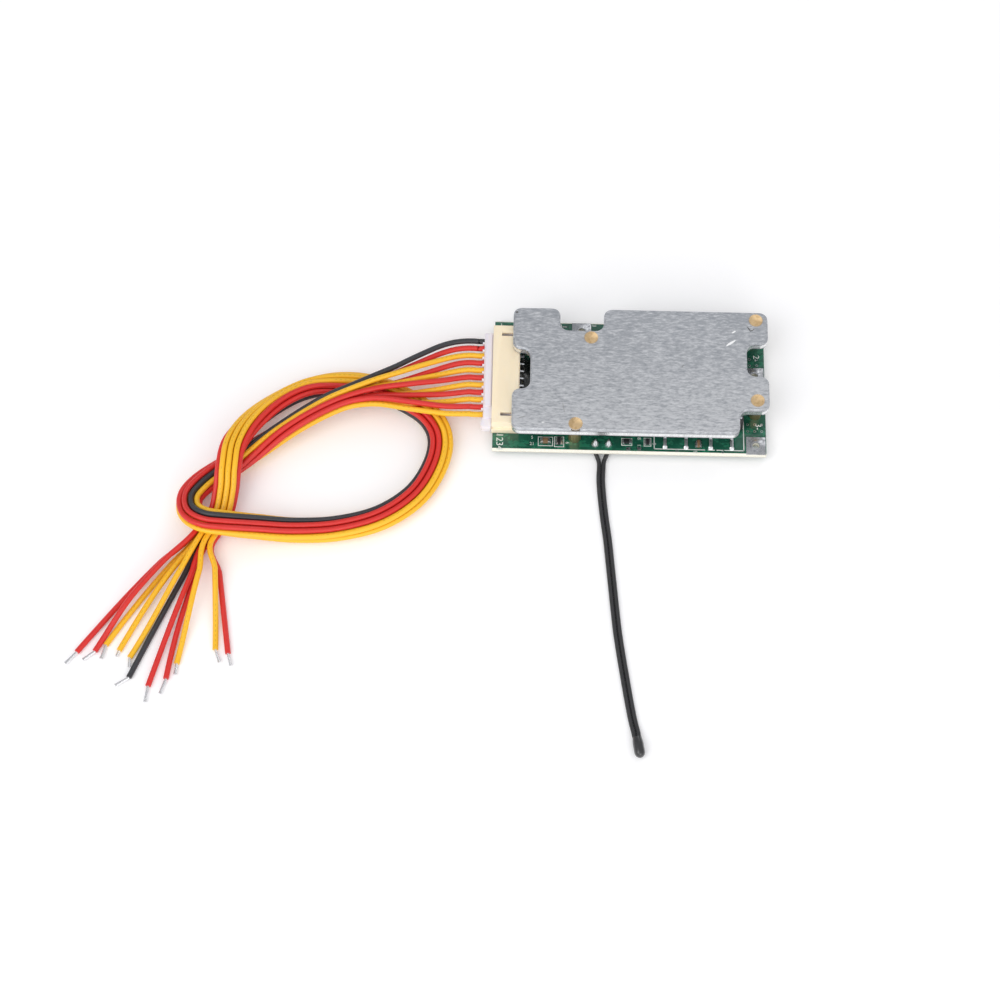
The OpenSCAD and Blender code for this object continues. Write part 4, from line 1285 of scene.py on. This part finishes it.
@dataclass
class StrandEnd:
    """The bare end of a wire: seven twisted, tinned strands, made anew for each wire."""

    strand_d: float = 0.235
    ring: float = 0.225
    length: float = 3.4
    steps: int = 9
    twist: float = 26

    def pattern(self, splay: float) -> bpy.types.Object:
        """Make a bundle that stands up from the origin.

        Args:
            splay: How far its tip spreads.

        Returns:
            The bundle.
        """
        discs = []
        for index in range(7):
            angle = index * math.pi / 3
            reach = self.ring if index else 0.0
            discs.append(Bench.disc("strand", (reach * math.cos(angle), reach * math.sin(angle), 0), self.strand_d / 2, 8))
        bundle = Bench.join("strand_pattern", discs)
        Bench.pick_faces(bundle, lambda face: True)
        for step in range(self.steps):
            bpy.ops.mesh.extrude_region_move(
                TRANSFORM_OT_translate={"value": (0, 0, self.length / self.steps * MM)})
            bpy.ops.transform.rotate(value=math.radians(self.twist), orient_axis="Z", center_override=(0, 0, 0))
            spread = 1 + splay * 0.28 * max(0, step - 3) / self.steps
            bpy.ops.transform.resize(value=(spread, spread, 1), center_override=(0, 0, 0))
        bpy.ops.mesh.select_all(action="SELECT")
        bpy.ops.mesh.normals_make_consistent(inside=False)
        bpy.ops.object.mode_set(mode="OBJECT")
        return Bench.smooth(bundle, 60)

    def place(self, node: str, start: Vector, wire: Wire) -> bpy.types.Object:
        """Put a bare end on a wire.

        Args:
            node: The CAD node that it replaces.
            start: Where the insulation ends, in metres.
            wire: The wire.

        Returns:
            The bare end.
        """
        reach = Vector((*wire.tip, 0)) - Vector((*wire.end, 0))
        bundle = self.pattern(wire.splay)
        stretch = Matrix.Diagonal((1, 1, reach.length / self.length, 1))
        aim = math.atan2(reach.y, reach.x)
        turned = Matrix.Rotation(aim, 4, "Z") @ Matrix.Rotation(math.pi / 2, 4, "Y")
        bundle.matrix_world = Matrix.Translation(start) @ turned @ stretch
        bundle = Bench.settle(bundle, node + "_twisted")
        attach(bundle, "root")
        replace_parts(bundle, node)
        return Finishes.strands.dress(bundle)


@dataclass
class Probe:
    """The temperature probe: a twin lead and its dipped bead."""

    lead_d: float = 1.05
    hole_x: Flat = (-8.2, -5.0)
    exit_y: float = -16.35
    low: float = 0.925
    bead_z: float = 1.25
    rings: int = 29
    finer: int = 5
    length: float = 0.075
    route: tuple[Flat, ...] = (
        (-6.6, -16.75), (-6.6, -18.3), (-6.6, -20.5), (-6.7, -24), (-6.4, -28.5), (-5.8, -34), (-5, -40), (-4.4, -46),
        (-3.8, -52), (-3.2, -58), (-2.6, -63.5), (-1.8, -69), (-1, -74), (-0.1, -79.5), (0.8, -84.5), (1.5, -87.6),
        (1.8, -89.2))

    def path(self, side: int) -> list[Vector]:
        """The centreline of one lead.

        Args:
            side: -1 for the left lead and 1 for the right one.

        Returns:
            Its points, in metres.
        """
        last = len(self.route) - 1
        hole = self.hole_x[0 if side < 0 else 1]
        points = [Vector((hole, self.exit_y - step, self.low)) for step in (0, 0.1, 0.2)]
        for step in range(1, self.rings * self.finer + 1):
            place = last * step / (self.rings * self.finer)
            spot = spline(self.route, place)
            way = (spline(self.route, place + 0.05) - spline(self.route, place - 0.05)).normalized()
            opened = 1 - ease((place + 0.3) / 2.1)
            half = (self.lead_d + 0.01) / 2 * (1 - opened) + (self.hole_x[1] - self.hole_x[0]) / 2 * opened
            fall = ease(place / 2)
            lift = ease((place - last + 1.8) / 1.2)
            height = (self.low * (1 - fall) + self.lead_d / 2 * fall
                      + (self.bead_z - 0.35 - self.lead_d / 2) * lift)
            points.append(Vector((spot.x - side * half * way.y, spot.y + side * half * way.x, height)))
        return [point * MM for point in points]

    def build(self) -> None:
        """Make both leads and the bead."""
        bead = Finishes.bead.dress(Bench.from_node("probe_bead", 0.0, 60))
        for side, name in ((-1, "probe_lead_left"), (1, "probe_lead_right")):
            points = self.path(side)
            lead = tube(name + "_insulated", points, self.lead_d / 2, Finishes.lead)
            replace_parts(lead, name)
            log.info("%s: %.0f mm", lead.name, self.length * 1000)


# ---------------------------------------------------------------------------
# Board, plate and what joins them
# ---------------------------------------------------------------------------


@dataclass
class Board:
    """The circuit board with its ink, plated holes and small bare pads."""

    top: float = 3.2
    ink_t: float = 0.025
    line: float = 0.16
    frames: tuple[tuple[float, float, float, float], ...] = (
        (-22.0, -16.5, -18.4, -14.0), (-18.1, -16.7, -15.7, -13.9), (-1.9, -15.9, 0.7, -13.9), (3.5, -16.0, 5.3, -13.7))
    strokes: tuple[tuple[float, float, float, float], ...] = (
        (-31.9, 16.2, -30.9, 16.36), (-31.5, 15.6, -31.34, 16.9),
        (5.9, -16.7, 18.2, -16.48), (18.9, -16.7, 20.6, -16.48), (21.0, -16.7, 22.6, -16.48), (22.9, -16.7, 27.7, -16.48),
        (5.9, -16.7, 6.12, -12.0), (27.48, -16.7, 27.7, -6.6),
        (-16.4, 16.25, -15.3, 16.41), (-9.2, 16.7, -8.1, 16.86), (28.9, 0.1, 29.9, 0.26))
    digits: tuple[tuple[str, float, float, float, float], ...] = (
        ("1", -17.2, 15.6, 1.5, 0), ("2-", 30.4, 9.6, 1.6, -90), ("3-", 30.5, -9.1, 1.6, -90), ("11", -30.9, 14.2, 1.1, 0),
        ("1234", -32.0, -13.2, 1.75, -90), ("21", -24.0, -16.3, 0.85, 0), ("5", -23.7, -14.6, 0.85, 0),
        ("6", -15.3, -15.2, 0.9, -90), ("8", 2.0, -13.6, 0.9, -90), ("17", 2.0, -15.4, 0.9, -90), ("9", 5.6, -15.0, 0.9, -90),
        ("10", 15.3, -17.6, 0.8, 0))
    vias: tuple[Flat, ...] = (
        (28.6, -9.5), (30.3, -9.5), (32.0, -9.5), (28.6, -11.3), (30.3, -11.3), (32.0, -11.3),
        (29.4, 6.7), (31.2, 6.7), (29.4, 8.4), (31.2, 8.4), (-31.8, -13.1), (11.5, -17.0), (22.5, -17.1))
    pads: tuple[tuple[float, float, float, float], ...] = (
        (-0.7, -17.2, 0.3, -16.3), (1.9, -17.1, 2.9, -16.2))

    def flat(self, name: str, corners: tuple[float, float, float, float], height: float) -> bpy.types.Object:
        """Add a thin block on the board.

        Args:
            name: The block's name.
            corners: Its lowest and highest X and Y, as x, y, x, y.
            height: How thick it is.

        Returns:
            The block.
        """
        return Bench.box(name, (corners[0], corners[1], self.top), (corners[2], corners[3], self.top + height))

    def outline(self, corners: tuple[float, float, float, float]) -> bpy.types.Object:
        """Add a printed frame: a thin block with its middle taken out by an inset.

        Args:
            corners: The frame's outer corners, as x, y, x, y.

        Returns:
            The frame.
        """
        frame_piece = self.flat("frame", corners, self.ink_t)
        Bench.pick_faces(frame_piece, lambda face: abs(face.normal.z) > 0.9)
        bpy.ops.mesh.inset(thickness=self.line * MM, depth=0)
        bpy.ops.mesh.bridge_edge_loops()
        bpy.ops.object.mode_set(mode="OBJECT")
        return frame_piece

    def digit(self, text: str, x: float, y: float, size: float, turn: float) -> bpy.types.Object:
        """Add a printed number, as a raised mesh.

        Args:
            text: The number.
            x: Where it starts.
            y: Its base line.
            size: Its height.
            turn: How far it is turned, in degrees.

        Returns:
            The number.
        """
        Bench.clear()
        bpy.ops.object.text_add(location=(x * MM, y * MM, self.top * MM), rotation=(0, 0, math.radians(turn)))
        piece = bpy.context.object
        piece.data.body = text
        piece.data.size = size * 1.35 * MM
        piece.data.extrude = self.ink_t * MM
        piece.data.resolution_u = 3
        bpy.ops.object.convert(target="MESH")
        return Bench.settle(bpy.context.object, "digit")

    def via(self, at: Flat) -> bpy.types.Object:
        """Add the tinned rim of a plated hole.

        Args:
            at: Its middle.

        Returns:
            The rim.
        """
        return Bench.bevel(Bench.ring("via", (*at, self.top - 0.005), 0.34, 0.20, 0.035, 20), 0.012, 2)

    def build(self) -> None:
        """Dress the board and add its ink, rims and pads."""
        Finishes.lacquer.dress(Bench.from_node("circuit_board", 0.0, 20))
        ink = [self.outline(corners) for corners in self.frames]
        ink += [self.flat("stroke", corners, self.ink_t) for corners in self.strokes]
        ink += [self.digit(*digit) for digit in self.digits]
        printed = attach(Bench.join("board_marks", ink), "root")
        Finishes.ink.dress(printed)
        rims = [self.via(at) for at in self.vias]
        rims += [Bench.bevel(self.flat("pad", corners, 0.05), 0.02) for corners in self.pads]
        Finishes.pad.dress(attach(Bench.join("board_vias", rims), "root"))
        log.info("circuit board: %d marks, %d rims and pads", len(ink), len(rims))


@dataclass
class Heatsink:
    """The plate, the studs that it sits on, their screws and the thermal pad."""

    top: float = 10.7
    head_r: float = 1.8
    studs: tuple[tuple[str, Flat], ...] = (
        ("stud_back_left", (-9.6, 9.45)), ("stud_back_right", (30.4, 15.15)),
        ("stud_front_right", (30.4, -6.75)), ("stud_front_left", (-13.2, -14.0)))

    def build(self) -> None:
        """Dress the plate and everything under it."""
        Finishes.plate.dress(Bench.from_node("heatsink_plate", 0.0, 24))
        for node, centre in self.studs:
            stud = Bench.from_node(node, 0.02, 25)
            TurnedMetal(node + "_brass", "stud_brass", centre=centre).dress(stud)
            seat = Bench.ring(node + "_seat", (*centre, self.top - 0.1), self.head_r, self.head_r - 0.24, 0.07, 48)
            Finishes.plate.dress(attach(seat, "root"))
        Finishes.steel.dress(Bench.from_node("stud_screws", 0.06))
        Finishes.silicone.dress(Bench.from_node("thermal_pad", 0.08))
        log.info("heatsink: plate, %d studs, screws and pad", len(self.studs))


@dataclass
class Transistors:
    """The four power transistors: moulded bodies on tinned tabs and leads."""

    nodes: tuple[str, ...] = ("transistor_front_left", "transistor_front_right", "transistor_back_left", "transistor_back_right")
    top: float = 3.2
    near_face: float = 1.9
    far_face: float = 11.1
    tab_t: float = 1.3

    def build(self) -> None:
        """Dress the transistors, with metal where the tab and leads are."""
        for node in self.nodes:
            piece = Bench.from_node(node, 0.09, 30)
            Finishes.epoxy.dress(piece)
            piece.data.materials.append(Finishes.tin.material())
            for face in piece.data.polygons:
                reach = abs(face.center.y) / MM
                low = face.center.z / MM < self.top + self.tab_t + 0.01
                if reach > self.far_face + 0.01 or (reach < self.near_face - 0.13 and low):
                    face.material_index = 1
            log.info("%s: %d faces", piece.name, len(piece.data.polygons))
        Finishes.solder.dress(Bench.from_node("transistor_solder", 0.12, 30))


@dataclass(frozen=True)
class Chip:
    """A chip part on the board.

    Attributes:
        at: Its middle, in millimetres.
        size: Its length, width and height.
        turned: Whether its length lies along Y.
    """

    at: Flat
    size: Point
    turned: bool = False


@dataclass
class SmallParts:
    """The chip parts and leaded packages between the board and the plate."""

    top: float = 3.2
    cell_pitch: float = 2.5
    cells: int = 10
    groups: tuple[tuple[str, ChipKind, tuple[Chip, ...]], ...] = (
        ("small_capacitors", ChipKind.CAPACITOR, (
            Chip((-20.2, -15.25), (2, 1.25, 1.1)), Chip((16.65, -15.15), (1, 1.8, 0.8)),
            Chip((-2, -8), (2, 1.25, 1.1), True), Chip((-13, -6.5), (2, 1.25, 1.1)), Chip((0, 10), (3.2, 1.6, 1.4)))),
        ("small_resistors", ChipKind.RESISTOR, (
            Chip((-16.9, -15.15), (1.2, 2, 0.6)), Chip((-0.6, -14.85), (2, 1.25, 0.5)), Chip((4.4, -14.85), (1.1, 1.6, 0.5)),
            *(Chip((0.1 - 2.4 * i, -4.5), (1.6, 0.8, 0.5), True) for i in range(4)),
            *(Chip((-2.2 - 2.4 * i, 6.5), (1.6, 0.8, 0.5), True) for i in range(3)))),
        ("balance_resistors", ChipKind.RESISTOR, tuple(
            Chip((-20.3, (i - 4.5) * 2.5), (3.2, 1.6, 0.6)) for i in range(10))),
        ("shunt_resistors", ChipKind.RESISTOR, (
            Chip((3.05, 5.5), (3.2, 6.3, 0.7)), Chip((3.05, -5.5), (3.2, 6.3, 0.7)))))

    def chip(self, part: Chip, kind: ChipKind) -> bpy.types.Object:
        """Make one chip part: body, tinned caps and the solder that climbs them.

        Args:
            part: The part.
            kind: Which body it has.

        Returns:
            The part, with its two finishes.
        """
        long, wide, high = part.size
        cap = long * 0.2
        body = Bench.bevel(Bench.box("body", (-long / 2 + cap / 2, -wide / 2 + 0.04, 0.03),
                                     (long / 2 - cap / 2, wide / 2 - 0.04, high - 0.03)), 0.05)
        (Finishes.chip_brown if kind is ChipKind.CAPACITOR else Finishes.chip_black).dress(body)
        ends = []
        for side in (-1, 1):
            x = side * (long - cap) / 2
            end = Bench.bevel(Bench.box("cap", (x - cap / 2, -wide / 2, 0), (x + cap / 2, wide / 2, high)), 0.07, 3)
            ends.append(Finishes.solder.dress(end))
            ends.append(self.fillet(side, long / 2, wide, high))
        part_piece = Bench.join("chip", [body, *ends])
        spot = Matrix.Translation(Vector((*part.at, self.top)) * MM)
        part_piece.matrix_world = spot @ Matrix.Rotation(math.pi / 2 if part.turned else 0, 4, "Z")
        return Bench.settle(part_piece, "chip")

    @staticmethod
    def fillet(side: int, reach: float, wide: float, high: float) -> bpy.types.Object:
        """Make the solder at one end: a block whose outer top edge is drawn down into a slope.

        Args:
            side: -1 or 1, for the end.
            reach: How far the end is from the middle.
            wide: The part's width.
            high: The part's height.

        Returns:
            The solder.
        """
        run = min(0.35, high * 0.5)
        low = (side * reach if side > 0 else -reach - run, -wide * 0.45, 0)
        top = (reach + run if side > 0 else -reach, wide * 0.45, high * 0.7)
        piece = Bench.box("fillet", low, top)
        outer = side * (reach + run)
        Bench.pick_points(piece, lambda spot: abs(spot.x - outer) < 0.001 and spot.z > 0.001)
        bpy.ops.transform.resize(value=(1, 0.9, 0.12), center_override=(outer * MM, 0, 0))
        bpy.ops.object.mode_set(mode="OBJECT")
        return Finishes.solder.dress(Bench.bevel(piece, 0.06, 2, 20))

    def leaded(self, at: Flat, size: Point, legs: int, pitch: float, leg_w: float, reach: float) -> bpy.types.Object:
        """Make a moulded package with gull-wing legs on two sides.

        Args:
            at: Its middle.
            size: Its body's length, width and height.
            legs: How many legs each side has.
            pitch: Their spacing.
            leg_w: Their width.
            reach: How far they stand out.

        Returns:
            The package, with its two finishes.
        """
        long, wide, high = size
        body = Bench.box("body", (-long / 2, -wide / 2, 0.1), (long / 2, wide / 2, high + 0.1))
        Bench.pick_points(body, lambda spot: spot.z > high * 0.6)
        bpy.ops.transform.resize(value=(0.96, 0.94, 1), center_override=(0, 0, 0))
        bpy.ops.object.mode_set(mode="OBJECT")
        pieces = [Finishes.chip_black.dress(Bench.bevel(body, 0.06))]
        leg = Bench.box("leg", (-leg_w / 2, wide / 2 - 0.05, high * 0.30), (leg_w / 2, wide / 2 + 0.2, high * 0.30 + 0.15))
        Bench.pick_faces(leg, lambda face: face.normal.y > 0.9)
        bpy.ops.mesh.extrude_region_move(TRANSFORM_OT_translate={"value": (0, 0.2 * MM, -high * 0.30 * MM)})
        bpy.ops.mesh.extrude_region_move(TRANSFORM_OT_translate={"value": (0, (reach - 0.4) * MM, 0)})
        bpy.ops.object.mode_set(mode="OBJECT")
        Finishes.tin.dress(Bench.bevel(leg, 0.02, 2, 25))
        for side in (0, math.pi):
            for index in range(legs):
                move = Matrix.Translation(((index - (legs - 1) / 2) * pitch * MM, 0, 0))
                pieces.append(Bench.copy(leg, "leg", move @ Matrix.Rotation(side, 4, "Z")))
        bpy.data.objects.remove(leg)
        package = Bench.join("package", pieces)
        package.matrix_world = Matrix.Translation(Vector((*at, self.top)) * MM)
        return Bench.settle(package, "package")

    def keep(self, node: str, pieces: list[bpy.types.Object]) -> None:
        """Join the parts of one node and put them in its place."""
        joined = Bench.smooth(Bench.join(node + "_soldered", pieces), 35)
        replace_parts(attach(joined, "root"), node)
        log.info("%s: %d parts", node, len(pieces))

    def build(self) -> None:
        """Make every chip part and package."""
        for node, kind, chips in self.groups:
            self.keep(node, [self.chip(part, kind) for part in chips])
        switches = [self.leaded((-16.7, (i - (self.cells - 1) / 2) * self.cell_pitch), (1.3, 0.9, 1.0), 1, 1.0, 0.4, 0.6)
                    for i in range(self.cells)]
        self.keep("balance_switches", switches)
        self.keep("controller_chip", [self.leaded((-8, 1), (8.2, 5.3, 1.7), 12, 0.65, 0.3, 0.9)])


@dataclass
class Terminals:
    """The three tinned pads for the power wires and the probe's two joints."""

    nodes: tuple[str, ...] = ("b_terminal", "p_terminal", "c_terminal")

    def build(self) -> None:
        """Dress the pads and joints."""
        for node in self.nodes:
            Finishes.pad.dress(Bench.from_node(node, 0.06, 25))
        Finishes.solder.dress(Bench.from_node("probe_solder", 0.05, 40))
        log.info("terminals: %d pads and the probe's joints", len(self.nodes))


@dataclass
class Connector:
    """The header on the board and the plug of the balance lead."""

    row_y: float = 0.4
    latch_y: float = 10.9
    latch_x: Flat = (-31.3, -28.7)

    def header(self) -> None:
        """Dress the header, its pins and their solder."""
        Finishes.cream.dress(Bench.from_node("header_housing", 0.09, 30))
        Finishes.tin.dress(Bench.from_node("header_pins", 0.16))
        Finishes.solder.dress(Bench.from_node("header_solder", 0.04, 40))
        log.info("header: housing, pins and solder")

    def plug(self) -> list[bpy.types.Object]:
        """Dress the plug and its contacts.

        Returns:
            The two pieces.
        """
        housing = Finishes.white.dress(Bench.from_node("plug_housing", 0.07, 30))
        for side in (-1, 1):
            middle = self.row_y + side * self.latch_y
            Bench.cut(housing, Bench.box("latch_pocket", (self.latch_x[0], middle - 0.45, 4.9), (self.latch_x[1], middle + 0.45, 7.3)))
        contacts = Finishes.tin.dress(Bench.from_node("plug_contacts", 0.05))
        log.info("plug: housing and contacts")
        return [housing, contacts]


# ---------------------------------------------------------------------------
# Studio
# ---------------------------------------------------------------------------


@dataclass
class Studio:
    """The camera, the white floor and the soft light."""

    azimuth: float = 0.36
    elevation: float = 65.0
    roll: float = 0.97
    target: Point = (-30.8, -29.6, 0)
    distance: float = 581.7
    lens: float = 87.41
    sky_front: Colour = (1.0, 1.0, 1.0)
    sky_back: Colour = (0.40, 0.41, 0.43)
    sky_strength: float = 1.0
    lamps: tuple[tuple[str, Point, float, float], ...] = (
        ("lamp_key", (-380, -300, 560), 520, 1.5), ("lamp_front", (140, -620, 260), 360, 0.7),
        ("lamp_back", (200, 560, 500), 420, 0.7))

    def camera(self) -> bpy.types.Object:
        """Make the camera and set it as the scene's.

        Returns:
            The camera.
        """
        azimuth, elevation, roll = (math.radians(v) for v in (self.azimuth, self.elevation, self.roll))
        back = Vector((math.sin(azimuth) * math.cos(elevation), -math.cos(azimuth) * math.cos(elevation), math.sin(elevation)))
        right = Vector((math.cos(azimuth), math.sin(azimuth), 0))
        up = back.cross(right)
        turned_right = math.cos(roll) * right + math.sin(roll) * up
        turned_up = math.cos(roll) * up - math.sin(roll) * right
        spot = (Vector(self.target) + back * self.distance) * MM
        Bench.clear()
        bpy.ops.object.camera_add(location=spot)
        camera = bpy.context.object
        camera.matrix_world = Matrix.Translation(spot) @ Matrix((turned_right, turned_up, back)).transposed().to_4x4()
        camera.data.sensor_width = 36
        camera.data.lens = self.lens
        camera.data.clip_start = 0.01
        camera.data.clip_end = 50
        camera.data.dof.use_dof = False
        bpy.context.scene.camera = camera
        return camera

    def light(self) -> None:
        """Make the sky, the lamps and the floor."""
        scene = bpy.context.scene
        scene.view_settings.view_transform = "Standard"
        world = bpy.data.worlds.new("studio_sky")
        world.use_nodes = True
        graph = Graph(world.node_tree)
        way = graph.split(graph.node("ShaderNodeTexCoord").outputs["Generated"])
        sky = world.node_tree.nodes["Background"]
        graph.feed(sky.inputs["Color"], graph.mix(graph.near(way[1], -0.7, 0.75), self.sky_front, self.sky_back))
        sky.inputs["Strength"].default_value = self.sky_strength
        scene.world = world
        for name, place, size, power in self.lamps:
            Bench.clear()
            spot = Vector(place) * MM
            bpy.ops.object.light_add(type="AREA", location=spot)
            lamp = bpy.context.object
            lamp.name = name
            lamp.data.size = size * MM
            lamp.data.energy = power
            lamp.rotation_euler = (spot - Vector((-0.02, -0.02, 0))).to_track_quat("Z", "Y").to_euler()
        Bench.clear()
        bpy.ops.mesh.primitive_plane_add(size=6, location=(0, 0, 0))
        floor = Bench.settle(bpy.context.object, "studio_floor")
        floor.data.materials.append(Finishes.paper.material())
        log.info("studio: sky, %d lamps and floor", len(self.lamps))


# ---------------------------------------------------------------------------
# Making
# ---------------------------------------------------------------------------


def main() -> None:
    """Make the scene: the camera and cords first, then the part from the board up."""
    studio = Studio()
    studio.camera()
    connector = Connector()
    BalanceLead().build(connector.plug())
    Probe().build()
    Board().build()
    Heatsink().build()
    Transistors().build()
    SmallParts().build()
    Terminals().build()
    connector.header()
    studio.light()


if __name__ == "__main__":
    main()
